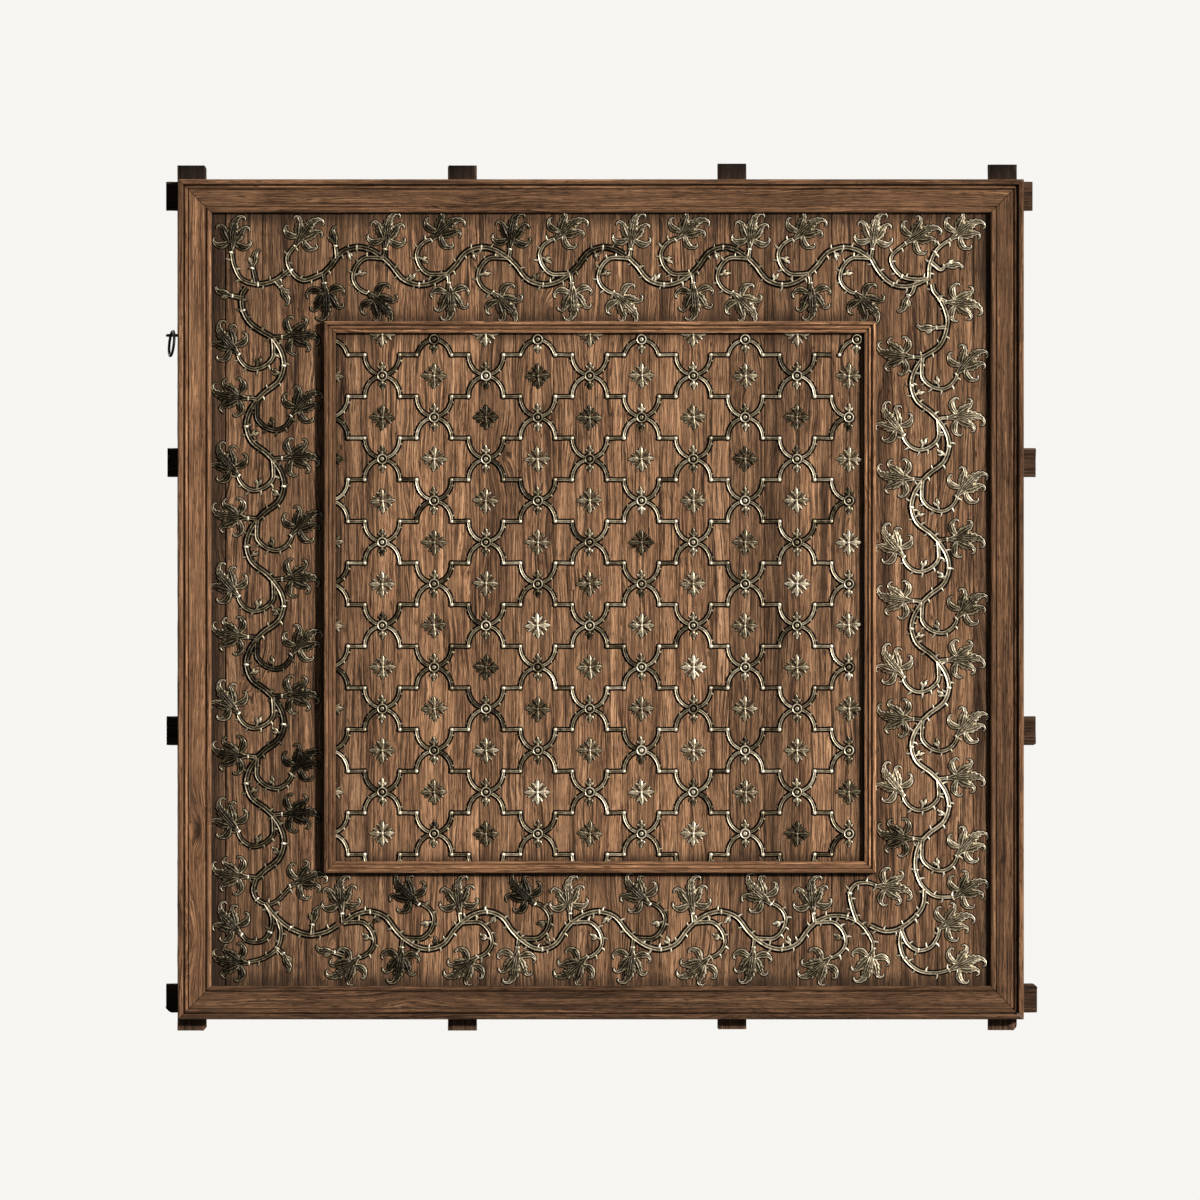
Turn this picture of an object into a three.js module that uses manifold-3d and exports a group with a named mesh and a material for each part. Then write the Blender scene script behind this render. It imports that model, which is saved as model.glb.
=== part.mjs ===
// Coffered wooden ceiling or wall panel with applied brass ornament, in millimetres.
// X runs to the right, Z up and -Y out of the panel's face. The backs of the battens lie in the plane y = 0.
// The origin is on the back of the upper-middle horizontal batten, at the panel's middle line.
import * as THREE from "three";
import { mergeVertices } from "three/addons/utils/BufferGeometryUtils.js";
import Module from "manifold-3d";

const wasm = await Module();
wasm.setup();

// Clearance between pieces that touch.
const gap = 0.3;

// Outer frame: its opening, the width of its rails and the rebate that takes the boards.
const opening = { width: 1753, height: 1740 };
const railWidth = 75;
const rebate = 28;

// Battens behind the boards: section, the lines they run on and how far their ends reach.
const batten = { wide: 66, thick: 45 };
const columnLines = [-921, -312, 295, 904];
const rowLines = [908, 308, -296, -898];
const columnReach = { up: [979, 979, 983, 981], down: [973, 973, 970, 972] };
const rowReach = { left: [981, 978, 980, 981], right: [974, 981, 981, 984] };

// The origin's height above the panel's middle: the upper-middle horizontal batten.
const originHeight = rowLines[1];

// Boards, from left to right. The last one takes what is left of the width.
const boardThick = 18;
const boardWidths = [61, 81, 82, 84, 84, 82, 76, 81, 81, 85, 76, 79, 84, 73, 84, 79, 79, 72, 76, 81, 81, 81];
const boardSeam = 0.5;
const openSeam = 2.5;
const faceY = -(batten.thick + gap + boardThick);

// Inner frame: the opening of its rails, their width and its place on the face.
const inner = { width: 1190, height: 1189, rail: 26, x: -2, z: 5 };

// Brass: the widths and heights of the relief above the boards.
const stem = { width: 9, curlWidth: 8, height: 6, steps: 5 };
const flowerHeight = 9;
const budHeight = 6;
const lattice = { stepX: 116.7, stepZ: 93.7, width: 6, height: 5, arcX: 39.5, arcZ: 45.6 };

// Vine: distance of the crests from the border's middle line, and of the joints where the flowers leave.
const wave = { crest: 42, joint: 17, crestAt: 0.55, straightWay: 84, curlWay: -42 };

// Ring and staple on the left edge. The ring hangs at a share of the staple's reach.
const ring = { radius: 27.75, wire: 3.25, turn: 12, lean: 6, play: 1.2, hangsAt: 0.52, steps: 24 };
const staple = { wire: 3.4, legs: 8, reach: 28, z: 594, y: -62, bends: 6, steps: 12 };
const wireSides = 8;

const colours = { batten: 0x3a2a20, rail: 0x6e4a33, board: 0x7a543b, brass: 0x8a7c5a, iron: 0x14120f };

const group = new THREE.Group();
group.position.z = -originHeight;

const degrees = THREE.MathUtils.degToRad;

// The sub-part goes in the group under its own name, with a material of its own.
function addPart(name, geometry, colour, metalness, roughness) {
  const material = new THREE.MeshStandardMaterial({ color: colour, metalness, roughness });
  const mesh = new THREE.Mesh(geometry, material);
  mesh.name = name;
  group.add(mesh);
  return mesh;
}

function addWood(name, geometry, colour) {
  return addPart(name, geometry, colour, 0, 0.75);
}

function addBrass(name, geometry) {
  return addPart(name, geometry, colours.brass, 0.9, 0.45);
}

function addIron(name, geometry) {
  return addPart(name, geometry, colours.iron, 0.8, 0.6);
}

function toSolid(geometry) {
  const bare = geometry.clone();
  bare.deleteAttribute("normal");
  bare.deleteAttribute("uv");
  const merged = mergeVertices(bare, 1e-4);
  const vertProperties = new Float32Array(merged.attributes.position.array);
  const triVerts = new Uint32Array(merged.index.array);
  return new wasm.Manifold(new wasm.Mesh({ numProp: 3, vertProperties, triVerts }));
}

function fromSolid(solid) {
  const mesh = solid.getMesh();
  const geometry = new THREE.BufferGeometry();
  geometry.setAttribute("position", new THREE.BufferAttribute(mesh.vertProperties, 3));
  geometry.setIndex(new THREE.BufferAttribute(mesh.triVerts, 1));
  geometry.computeVertexNormals();
  return geometry;
}

function box(x0, x1, y0, y1, z0, z1) {
  const geometry = new THREE.BoxGeometry(x1 - x0, y1 - y0, z1 - z0);
  geometry.translate((x0 + x1) / 2, (y0 + y1) / 2, (z0 + z1) / 2);
  return geometry;
}

function outlineShape(points) {
  return new THREE.Shape(points.map(([x, y]) => new THREE.Vector2(x, y)));
}

// ---- Battens ----

// A batten's outline from the side: along its length, and across its thickness from the back (0) outwards.
// The laps are cut half-way through, from the back on the upright battens and from the front on the others.
function battenOutline(start, end, crossings, fromBack) {
  const half = batten.wide / 2 + gap;
  const deep = batten.thick / 2 + (fromBack ? gap / 2 : -gap / 2);
  const notched = [];
  for (const at of [...crossings].sort((a, b) => a - b)) {
    const side = fromBack ? 0 : batten.thick;
    notched.push([at - half, side], [at - half, deep], [at + half, deep], [at + half, side]);
  }
  if (fromBack) return [[start, 0], ...notched, [end, 0], [end, batten.thick], [start, batten.thick]];
  return [[start, 0], [end, 0], [end, batten.thick], ...notched.reverse(), [start, batten.thick]];
}

// A broken or worn corner: a wedge taken off the batten's end.
function chip(solid, x, z, size, turn) {
  const wedge = new THREE.BoxGeometry(size * 1.42, batten.thick * 3, size * 1.42);
  wedge.rotateY(degrees(45 + turn));
  wedge.translate(x, -batten.thick / 2, z);
  return solid.subtract(toSolid(wedge));
}

function columnBatten(line, down, up) {
  const shape = outlineShape(battenOutline(-down, up, rowLines, true));
  const geometry = new THREE.ExtrudeGeometry(shape, { depth: batten.wide, bevelEnabled: false });
  const place = new THREE.Matrix4().makeBasis(
    new THREE.Vector3(0, 0, 1),
    new THREE.Vector3(0, -1, 0),
    new THREE.Vector3(1, 0, 0),
  );
  geometry.applyMatrix4(place);
  geometry.translate(line - batten.wide / 2, 0, 0);
  return toSolid(geometry);
}

function rowBatten(line, left, right) {
  const shape = outlineShape(battenOutline(-left, right, columnLines, false));
  const geometry = new THREE.ExtrudeGeometry(shape, { depth: batten.wide, bevelEnabled: false });
  const place = new THREE.Matrix4().makeBasis(
    new THREE.Vector3(1, 0, 0),
    new THREE.Vector3(0, -1, 0),
    new THREE.Vector3(0, 0, -1),
  );
  geometry.applyMatrix4(place);
  geometry.translate(0, 0, line + batten.wide / 2);
  return toSolid(geometry);
}

// Worn ends: which end of which batten, which side of its width, and how much is gone.
const wornColumns = [
  { index: 0, end: "up", side: 1, size: 7 },
  { index: 0, end: "down", side: 1, size: 9 },
  { index: 1, end: "up", side: -1, size: 5 },
  { index: 3, end: "down", side: 1, size: 10 },
];
const wornRows = [
  { index: 3, end: "left", side: -1, size: 12 },
  { index: 3, end: "right", side: 1, size: 10 },
  { index: 2, end: "right", side: -1, size: 6 },
];

columnLines.forEach((line, index) => {
  let solid = columnBatten(line, columnReach.down[index], columnReach.up[index]);
  for (const worn of wornColumns.filter((one) => one.index === index)) {
    const z = worn.end === "up" ? columnReach.up[index] : -columnReach.down[index];
    solid = chip(solid, line + (worn.side * batten.wide) / 2, z, worn.size, 10 * worn.side);
  }
  addWood(`batten_upright_${index + 1}`, fromSolid(solid), colours.batten);
});

rowLines.forEach((line, index) => {
  let solid = rowBatten(line, rowReach.left[index], rowReach.right[index]);
  for (const worn of wornRows.filter((one) => one.index === index)) {
    const x = worn.end === "right" ? rowReach.right[index] : -rowReach.left[index];
    solid = chip(solid, x, line + (worn.side * batten.wide) / 2, worn.size, 12 * worn.side);
  }
  addWood(`batten_level_${index + 1}`, fromSolid(solid), colours.batten);
});

// ---- Boards ----

const boardHalf = opening.height / 2 + rebate - gap;
const boardsRight = opening.width / 2 + rebate - gap;

boardWidths.push(2 * boardsRight - boardWidths.reduce((sum, width) => sum + width, 0));
boardWidths.reduce((left, width, index) => {
  const seam = index === 0 ? openSeam : boardSeam;
  const right = index === boardWidths.length - 1 ? boardsRight : left + width - seam;
  const number = String(index + 1).padStart(2, "0");
  const board = box(left, right, faceY, faceY + boardThick, -boardHalf, boardHalf);
  addWood(`board_${number}`, board, colours.board);
  return left + width;
}, -boardsRight);

// ---- Mitred rails ----

// The outline runs across the rail: distance outwards from the opening's edge, and height above the boards.
// Its two ends are mitred: each point moves out by its own distance from the opening.
function mitredRail(outline, length, clearance) {
  const geometry = new THREE.ExtrudeGeometry(outlineShape(outline), { depth: 2, bevelEnabled: false });
  geometry.translate(0, 0, -1);
  const position = geometry.attributes.position;
  for (let i = 0; i < position.count; i += 1) {
    const across = position.getX(i);
    const end = Math.sign(position.getZ(i));
    position.setXYZ(i, end * (length / 2 + across - clearance), faceY - position.getY(i), across);
  }
  return geometry;
}

// Four rails round an opening. Each is made as the top one, standing at its distance, and turned to its side.
function addFrame(names, outline, frame) {
  names.forEach((name, turn) => {
    const level = turn % 2 === 0;
    const rail = mitredRail(outline, level ? frame.width : frame.height, gap / 2);
    rail.translate(0, 0, (level ? frame.height : frame.width) / 2);
    rail.rotateY((turn * Math.PI) / 2);
    rail.translate(frame.x, 0, frame.z);
    addWood(name, rail, colours.rail);
  });
}

// A round bead between two distances, as a few points of an arc.
function bead(from, to, low, high, steps) {
  return Array.from({ length: steps + 1 }, (unused, i) => {
    const angle = Math.PI * (1 - i / steps);
    const across = (from + to) / 2 + ((to - from) / 2) * Math.cos(angle);
    return [across, low + (high - low) * Math.sin(angle)];
  });
}

const boardBack = -boardThick - gap;

// Outer rail: inner bead, wide sunk flat, second bead and a tall fillet outside, with a rebate for the boards.
const outerOutline = [
  [0, gap],
  ...bead(0.01, 11.5, 8.5, 13, 4),
  [13, 7.5],
  [15, 10],
  [50, 10.5],
  [52, 7.5],
  ...bead(53.5, 61, 9, 13, 3),
  [62.5, 8],
  [63.5, 18],
  [66, 20],
  [72, 20],
  [railWidth, 17],
  [railWidth, boardBack],
  [rebate, boardBack],
  [rebate, gap],
];

addFrame(["rail_top", "rail_right", "rail_bottom", "rail_left"], outerOutline, { ...opening, x: 0, z: 0 });

// Inner rail: three small steps that rise to the outside.
const innerOutline = [
  [0, gap],
  [0, 10],
  [2, 12.5],
  [6.5, 12.5],
  [7.5, 11],
  [9, 14.5],
  [10.5, 16.5],
  [15, 16.5],
  [16, 15],
  [17.5, 19],
  [19.5, 22],
  [23, 22],
  [inner.rail, 19],
  [inner.rail, gap],
];

addFrame(["moulding_top", "moulding_right", "moulding_bottom", "moulding_left"], innerOutline, inner);

// ---- Brass relief ----

const brassBack = faceY - gap;

// A low relief on the boards: an outline seen from the front, rising to one high point.
function relief(outline, peak, height) {
  const points = outline.map(([x, z]) => new THREE.Vector2(x, z));
  if (THREE.ShapeUtils.isClockWise(points)) points.reverse();
  const flat = THREE.ShapeUtils.triangulateShape(points, []);
  const positions = points.flatMap((point) => [point.x, brassBack, point.y]);
  positions.push(peak[0], brassBack - height, peak[1]);
  const top = points.length;
  const faces = points.flatMap((unused, i) => [i, (i + 1) % top, top]);
  for (const [a, b, c] of flat) faces.push(a, c, b);
  const geometry = new THREE.BufferGeometry();
  geometry.setAttribute("position", new THREE.Float32BufferAttribute(positions, 3));
  geometry.setIndex(faces);
  return geometry;
}

// A strip with a ridge along its middle, that follows a line of points on the face.
function ridge(points, width, height) {
  const positions = [];
  const faces = [];
  const last = points.length - 1;
  points.forEach(([x, z], i) => {
    const before = points[Math.max(i - 1, 0)];
    const after = points[Math.min(i + 1, last)];
    const way = new THREE.Vector2(after[0] - before[0], after[1] - before[1]).normalize();
    const side = new THREE.Vector2(-way.y, way.x).multiplyScalar(width / 2);
    positions.push(x + side.x, brassBack, z + side.y);
    positions.push(x - side.x, brassBack, z - side.y);
    positions.push(x, brassBack - height, z);
  });
  for (let i = 0; i < last; i += 1) {
    for (const [a, b] of [[0, 1], [1, 2], [2, 0]]) {
      const here = 3 * i;
      const next = 3 * (i + 1);
      faces.push(here + a, here + b, next + b);
      faces.push(here + a, next + b, next + a);
    }
  }
  faces.push(0, 2, 1);
  faces.push(3 * last, 3 * last + 1, 3 * last + 2);
  const geometry = new THREE.BufferGeometry();
  geometry.setAttribute("position", new THREE.Float32BufferAttribute(positions, 3));
  geometry.setIndex(faces);
  return geometry;
}

// A smooth line through the given points, in as many steps as asked.
function smooth(points, steps) {
  const curve = new THREE.CatmullRomCurve3(points.map(([x, z]) => new THREE.Vector3(x, 0, z)));
  return curve.getSpacedPoints(steps).map((point) => [point.x, point.z]);
}

// Joins the pieces of one casting, checking that each is the right way out.
function joined(geometries) {
  const solids = geometries.map((geometry) => {
    const solid = toSolid(geometry);
    if (solid.volume() > 0) return solid;
    const turned = geometry.clone();
    const index = turned.index.array;
    for (let i = 0; i < index.length; i += 3) [index[i + 1], index[i + 2]] = [index[i + 2], index[i + 1]];
    return toSolid(turned);
  });
  return solids.reduce((whole, solid) => whole.add(solid));
}

// Outlines about the foot of the stalk, pointing up: a lily with two sepals, two side petals and a hooked
// middle petal, and a bud with a hooked tip.
const flowerOutline = [
  [0, -6],
  [14, 13],
  [43, 19],
  [20, 30],
  [35, 45],
  [13, 48],
  [17, 72],
  [-4, 76],
  [-12, 46],
  [-35, 45],
  [-20, 30],
  [-43, 19],
  [-14, 13],
];
const flowerPeak = [0, 28];
const budOutline = [
  [0, -4],
  [10, 10],
  [8, 22],
  [12, 34],
  [-1, 36],
  [-9, 18],
];
const budPeak = [1, 14];

function turned([x, z], angle, foot) {
  const turn = degrees(angle - 90);
  return [
    foot[0] + x * Math.cos(turn) - z * Math.sin(turn),
    foot[1] + x * Math.sin(turn) + z * Math.cos(turn),
  ];
}

function flower(foot, angle) {
  const outline = flowerOutline.map((point) => turned(point, angle, foot));
  return relief(outline, turned(flowerPeak, angle, foot), flowerHeight);
}

function bud(foot, angle) {
  const outline = budOutline.map((point) => turned(point, angle, foot));
  return relief(outline, turned(budPeak, angle, foot), budHeight);
}

// ---- Vine scroll of the border ----

// Each side has its own directions along (u) and outwards (v), the distance of its middle line from the
// panel's middle, and the joints along it. At every joint the stem turns over: one flower goes straight out,
// and a curl runs back and ends in a second flower. first is 1 where the first joint's flower points outwards.
const sides = {
  top: {
    u: [1, 0],
    v: [0, 1],
    middle: 750,
    first: -1,
    joints: [-625, -488, -345, -207, -68, 64, 205, 332, 469, 608],
  },
  right: {
    u: [0, 1],
    v: [1, 0],
    middle: 741,
    first: -1,
    joints: [-541, -405, -272, -139, -6, 132, 268, 406, 543],
  },
  bottom: {
    u: [-1, 0],
    v: [0, -1],
    middle: 745,
    first: -1,
    joints: [-481, -346, -209, -74, 67, 185, 315, 446, 580],
  },
  left: {
    u: [0, 1],
    v: [-1, 0],
    middle: 756,
    first: 1,
    joints: [-627, -486, -356, -220, -87, 43, 180, 315, 450, 588],
  },
};

// The curl, as a share of the unit: along (back is negative) and across (away from the straight flower).
const curlLine = [
  [0, 0],
  [-23, 2],
  [-45, 0],
  [-63, -18],
  [-70, -42],
  [-63, -61],
  [-48, -74],
  [-33, -79],
];
const stalk = [
  [0, 0],
  [3, 26],
];

// Turns a point of the unit, at a joint, to the panel's own x and z.
function onSide(side, along, across) {
  const out = side.middle + across;
  return [side.u[0] * along + side.v[0] * out, side.u[1] * along + side.v[1] * out];
}

function wayOnSide(side, along, across) {
  const x = side.u[0] * along + side.v[0] * across;
  const z = side.u[1] * along + side.v[1] * across;
  return THREE.MathUtils.radToDeg(Math.atan2(z, x));
}

function jointStem(side, from, to, sign) {
  const step = to - from;
  const points = [
    [from, sign * wave.joint],
    [from + step * 0.12, 0],
    [from + step * 0.3, -sign * wave.crest * 0.7],
    [from + step * wave.crestAt, -sign * wave.crest],
    [from + step * 0.78, -sign * wave.crest * 0.85],
    [to, -sign * wave.joint],
  ];
  const line = points.map(([along, across]) => onSide(side, along, across));
  return ridge(smooth(line, stem.steps), stem.width, stem.height);
}

function straightFlower(side, at, sign) {
  const line = stalk.map(([along, across]) => onSide(side, at + along, sign * (wave.joint + across)));
  const angle = degrees(wave.straightWay);
  const way = wayOnSide(side, Math.cos(angle), sign * Math.sin(angle));
  return [ridge(line, stem.width, stem.height), flower(line[line.length - 1], way)];
}

function curlFlower(side, at, sign) {
  const line = curlLine.map(([along, across]) => onSide(side, at + along, sign * (wave.joint + across)));
  const angle = degrees(wave.curlWay);
  const way = wayOnSide(side, Math.cos(angle), sign * Math.sin(angle));
  return [ridge(smooth(line, stem.steps), stem.curlWidth, stem.height), flower(line[line.length - 1], way)];
}

// The regular run of one side: stems between joints, a straight flower at each joint and a curl at each joint
// except those that a corner finishes in its own way.
function sidePieces(side, plain) {
  const pieces = [];
  side.joints.forEach((at, index) => {
    const sign = side.first * (index % 2 === 0 ? 1 : -1);
    if (index < side.joints.length - 1) pieces.push(jointStem(side, at, side.joints[index + 1], sign));
    pieces.push(...straightFlower(side, at, sign));
    if (!plain.includes(index)) pieces.push(...curlFlower(side, at, sign));
  });
  return pieces;
}

// Corner growths, drawn by hand in the panel's own x and z: the line of each stem, and what it ends in.
const corners = {
  top: [
    { line: [[-625, 733], [-670, 718], [-698, 740], [-706, 770], [-686, 799]], flower: 56 },
    { line: [[-702, 741], [-733, 718], [-772, 709], [-808, 720], [-826, 752], [-832, 786]], flower: 85 },
    { line: [[-776, 712], [-784, 750]], bud: 80 },
    { line: [[-733, 718], [-718, 700]], bud: -58 },
    { line: [[-594, 768], [-598, 800]], bud: 105 },
    { line: [[608, 767], [628, 734], [657, 709], [695, 705], [738, 722]] },
    { line: [[738, 722], [707, 720], [677, 727], [657, 750], [655, 774], [690, 804]], flower: 33 },
    { line: [[738, 722], [740, 752], [752, 781], [767, 797], [790, 812]], flower: 38 },
    { line: [[744, 758], [764, 742], [776, 751]], bud: 8 },
    { line: [[706, 706], [700, 690], [690, 680]], bud: -108 },
  ],
  right: [
    { line: [[745, 709], [749, 693], [763, 675], [776, 646], [779, 616], [763, 572], [721, 543]] },
    { line: [[758, 678], [781, 669]], flower: -3 },
    { line: [[779, 612], [750, 611]], bud: 185 },
    { line: [[718, -546], [709, -576], [709, -610], [722, -643], [752, -668], [797, -670]], flower: 36 },
    { line: [[728, -648], [726, -684], [711, -710], [673, -740], [639, -747], [606, -735]] },
    { line: [[678, -738], [673, -774], [684, -808], [714, -835], [752, -841], [788, -833]], flower: 26 },
    { line: [[676, -745], [690, -774], [714, -790], [741, -783], [756, -763], [763, -740]], flower: 29 },
  ],
  bottom: [
    { line: [[481, -726], [515, -713], [554, -715], [587, -733], [610, -767], [612, -790]], flower: -105 },
    { line: [[576, -724], [565, -692], [560, -661], [574, -641], [601, -638], [623, -645]], flower: -5 },
    { line: [[-578, -802], [-604, -794]], bud: 175 },
  ],
  left: [
    {
      line: [[-776, -627], [-783, -654], [-774, -675], [-754, -686], [-729, -679], [-695, -643]],
      flower: 25,
    },
    { line: [[-756, -684], [-731, -715], [-700, -740], [-659, -755], [-621, -749], [-593, -733]] },
    {
      line: [[-754, -686], [-740, -717], [-745, -749], [-763, -769], [-794, -769], [-812, -751]],
      flower: 135,
    },
    { line: [[-729, -717], [-720, -749], [-729, -785], [-758, -807], [-797, -818]], flower: 176 },
    { line: [[-650, -755], [-648, -727]], bud: 80 },
    { line: [[-728, -786], [-713, -801]], bud: -62 },
    { line: [[-798, 702], [-808, 684], [-806, 650], [-785, 617], [-738, 588]] },
    { line: [[-808, 678], [-834, 684]], bud: 165 },
  ],
};

function cornerPieces(growth) {
  const end = growth.line[growth.line.length - 1];
  const steps = growth.line.length > 3 ? stem.steps : 1;
  const pieces = [ridge(smooth(growth.line, steps), stem.curlWidth, stem.height)];
  if (growth.flower !== undefined) pieces.push(flower(end, growth.flower));
  if (growth.bud !== undefined) pieces.push(bud(end, growth.bud));
  return pieces;
}

// Joints whose curl is drawn with the corner: the left end of the top run and the bottom end of the left run.
const plainJoints = { top: [0], right: [], bottom: [], left: [0] };

for (const [name, side] of Object.entries(sides)) {
  const pieces = [...sidePieces(side, plainJoints[name]), ...corners[name].flatMap(cornerPieces)];
  addBrass(`vine_${name}`, fromSolid(joined(pieces)));
}

// ---- Trellis of the middle field ----

// The crossings stand on a lattice. Odd rows are shifted by half a step. Column 0 lies under the moulding.
const latticeLeft = -609;
const latticeTop = 597;
const latticeRows = 13;
const latticeColumns = 11;

// One casting runs across the field in a zigzag between two rows of crossings. From crossing to crossing it
// is an arc, a level bar and the arc turned round. Neighbouring castings meet back to back at the crossings.
function zigzag(row) {
  const arc = [-90, -45, 0].map((angle) => [
    lattice.arcX * Math.cos(degrees(angle)),
    lattice.stepZ / 2 + lattice.arcZ * Math.sin(degrees(angle)),
  ]);
  const back = arc.map(([along, up]) => [lattice.stepX - along, lattice.stepZ - up]).reverse();
  const rise = [...arc, ...back];
  const points = [];
  const firstColumn = row === latticeRows - 1 ? 2 : 0;
  for (let column = firstColumn; column < latticeColumns - 1; column += 1) {
    const goesDown = (row + column) % 2 === 0;
    const x = latticeLeft + column * lattice.stepX;
    const z = latticeTop - (goesDown ? row : row + 1) * lattice.stepZ;
    const link = rise.map(([along, up]) => [x + along, z + (goesDown ? -up : up)]);
    points.push(...(column === firstColumn ? link : link.slice(1)));
  }
  return ridge(points, lattice.width, lattice.height);
}

const castings = Array.from({ length: latticeRows }, (unused, row) => zigzag(row));

// The moulding trims whatever reaches under it.
const field = box(
  inner.x - inner.width / 2 + gap,
  inner.x + inner.width / 2 - gap,
  brassBack - 40,
  brassBack + 1,
  inner.z - inner.height / 2 + gap,
  inner.z + inner.height / 2 - gap,
);
addBrass("trellis", fromSolid(joined(castings).intersect(toSolid(field))));

// ---- Ring and staple ----

function roundWire(points, radius, sides, steps) {
  const curve = new THREE.CatmullRomCurve3(points);
  const section = outlineShape(
    Array.from({ length: sides }, (unused, i) => {
      const angle = (2 * Math.PI * i) / sides;
      return [radius * Math.cos(angle), radius * Math.sin(angle)];
    }),
  );
  return new THREE.ExtrudeGeometry(section, { steps, bevelEnabled: false, extrudePath: curve });
}

const frameEdge = -(opening.width / 2 + railWidth);
const stapleBow = Array.from({ length: staple.bends + 1 }, (unused, i) => {
  const angle = Math.PI / 2 + (Math.PI * i) / staple.bends;
  const bow = staple.reach - staple.wire - staple.legs;
  return new THREE.Vector3(
    frameEdge - bow + staple.legs * Math.cos(angle),
    staple.y + staple.legs * Math.sin(angle),
    staple.z,
  );
});
const staplePoints = [
  new THREE.Vector3(frameEdge - gap, staple.y + staple.legs, staple.z),
  ...stapleBow,
  new THREE.Vector3(frameEdge - gap, staple.y - staple.legs, staple.z),
];
addIron("staple", roundWire(staplePoints, staple.wire, wireSides, staple.steps));

// The ring hangs on both legs of the staple, nearly edge-on to the front.
const ringProfile = Array.from({ length: wireSides + 1 }, (unused, i) => {
  const angle = (2 * Math.PI * i) / wireSides;
  return new THREE.Vector2(ring.radius + ring.wire * Math.cos(angle), ring.wire * Math.sin(angle));
});
ringProfile[wireSides].copy(ringProfile[0]);
const ringGeometry = new THREE.LatheGeometry(ringProfile, ring.steps);
const innerReach = ring.radius - ring.wire - staple.wire - ring.play;
const ringMesh = addIron("ring", ringGeometry);
ringMesh.rotation.set(0, 0, Math.PI / 2);
const ringHanger = new THREE.Group();
ringHanger.rotation.set(0, degrees(ring.lean), degrees(ring.turn), "ZYX");
ringHanger.position.set(
  frameEdge - staple.reach * ring.hangsAt,
  staple.y,
  staple.z - Math.sqrt(innerReach ** 2 - staple.legs ** 2),
);
ringHanger.add(ringMesh);
group.add(ringHanger);

export default group;
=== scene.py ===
import math
import random

import bmesh
import bpy
import numpy as np
from mathutils import Matrix, Vector, noise


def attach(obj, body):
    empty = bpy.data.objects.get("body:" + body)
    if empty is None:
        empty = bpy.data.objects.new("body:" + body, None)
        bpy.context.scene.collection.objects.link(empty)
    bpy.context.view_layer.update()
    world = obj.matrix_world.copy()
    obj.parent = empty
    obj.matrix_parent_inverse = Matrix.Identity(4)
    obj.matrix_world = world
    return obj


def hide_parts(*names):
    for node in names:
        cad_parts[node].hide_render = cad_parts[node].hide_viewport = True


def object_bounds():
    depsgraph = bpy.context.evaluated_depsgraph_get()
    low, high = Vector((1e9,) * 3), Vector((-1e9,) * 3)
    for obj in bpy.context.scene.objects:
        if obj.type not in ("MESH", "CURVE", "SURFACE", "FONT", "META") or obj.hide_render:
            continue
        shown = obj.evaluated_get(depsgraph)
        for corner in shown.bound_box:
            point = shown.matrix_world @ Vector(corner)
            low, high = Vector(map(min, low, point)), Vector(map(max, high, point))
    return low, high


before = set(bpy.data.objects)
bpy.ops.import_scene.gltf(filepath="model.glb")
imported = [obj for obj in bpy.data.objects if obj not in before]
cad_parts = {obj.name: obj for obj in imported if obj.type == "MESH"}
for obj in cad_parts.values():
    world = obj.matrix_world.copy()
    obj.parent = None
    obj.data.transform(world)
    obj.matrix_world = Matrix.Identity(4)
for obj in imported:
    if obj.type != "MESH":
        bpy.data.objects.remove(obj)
cadLow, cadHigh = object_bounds()
scene = bpy.context.scene

# Everything is drawn flat, in millimetres about the panel's middle:
# x right, y up, z out from the battens' backs.
place = {
    "originUp": 308,      # the frame's origin is on the upper-middle level batten
    "boardFront": 63.3,   # front of the boards
    "boardThick": 18,
    "gap": 0.3,
    "sunk": 0.5,          # how far the brass goes into the wood, so that it never floats
}
toFrame = (
    Matrix.Translation((0, 0, -place["originUp"] * 0.001))
    @ Matrix.Rotation(math.radians(90), 4, "X")
    @ Matrix.Scale(0.001, 4)
)
face = place["boardFront"]
brassFoot = face - place["sunk"]


# Meshes from points, and how a finished piece is put away.

def addLayers(mesh, layers):
    # one number for each point
    for key, values in layers.items():
        layer = mesh.attributes.new(key, "FLOAT", "POINT")
        layer.data.foreach_set("value", np.asarray(values, dtype=np.float32))


def meshFrom(name, points, faces, layers=None, grain=None):
    mesh = bpy.data.meshes.new(name)
    mesh.from_pydata([tuple(map(float, p)) for p in points], [], [tuple(map(int, f)) for f in faces])
    addLayers(mesh, layers or {})
    if grain is not None:
        layer = mesh.attributes.new("grain", "FLOAT_VECTOR", "POINT")
        layer.data.foreach_set("vector", np.asarray(grain, dtype=np.float32).ravel())
    return mesh


def tubeFaces(rings, size, swapped=False):
    # joins each ring of points to the next one, and closes both ends
    faces = []
    for r in range(rings - 1):
        for i in range(size):
            j = (i + 1) % size
            near, far = r * size, (r + 1) * size
            if swapped:
                faces.append((near + i, far + i, far + j, near + j))
            else:
                faces.append((near + i, near + j, far + j, far + i))
    faces.append(tuple(range(size)))
    faces.append(tuple(range((rings - 1) * size, rings * size)))
    return faces


def outward(mesh):
    work = bmesh.new()
    work.from_mesh(mesh)
    bmesh.ops.recalc_face_normals(work, faces=work.faces)
    work.to_mesh(mesh)
    work.free()


def addObject(name, mesh):
    made = bpy.data.objects.new(name, mesh)
    scene.collection.objects.link(made)
    return made


def finishPiece(name, mesh, material, nodes, angle=40, flat=True):
    if flat:
        mesh.transform(toFrame)
    mesh.materials.clear()
    mesh.materials.append(material)
    mesh.shade_smooth()
    mesh.set_sharp_from_angle(angle=math.radians(angle))
    made = addObject(name, mesh)
    if nodes:
        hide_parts(*nodes)
    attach(made, "root")


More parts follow.
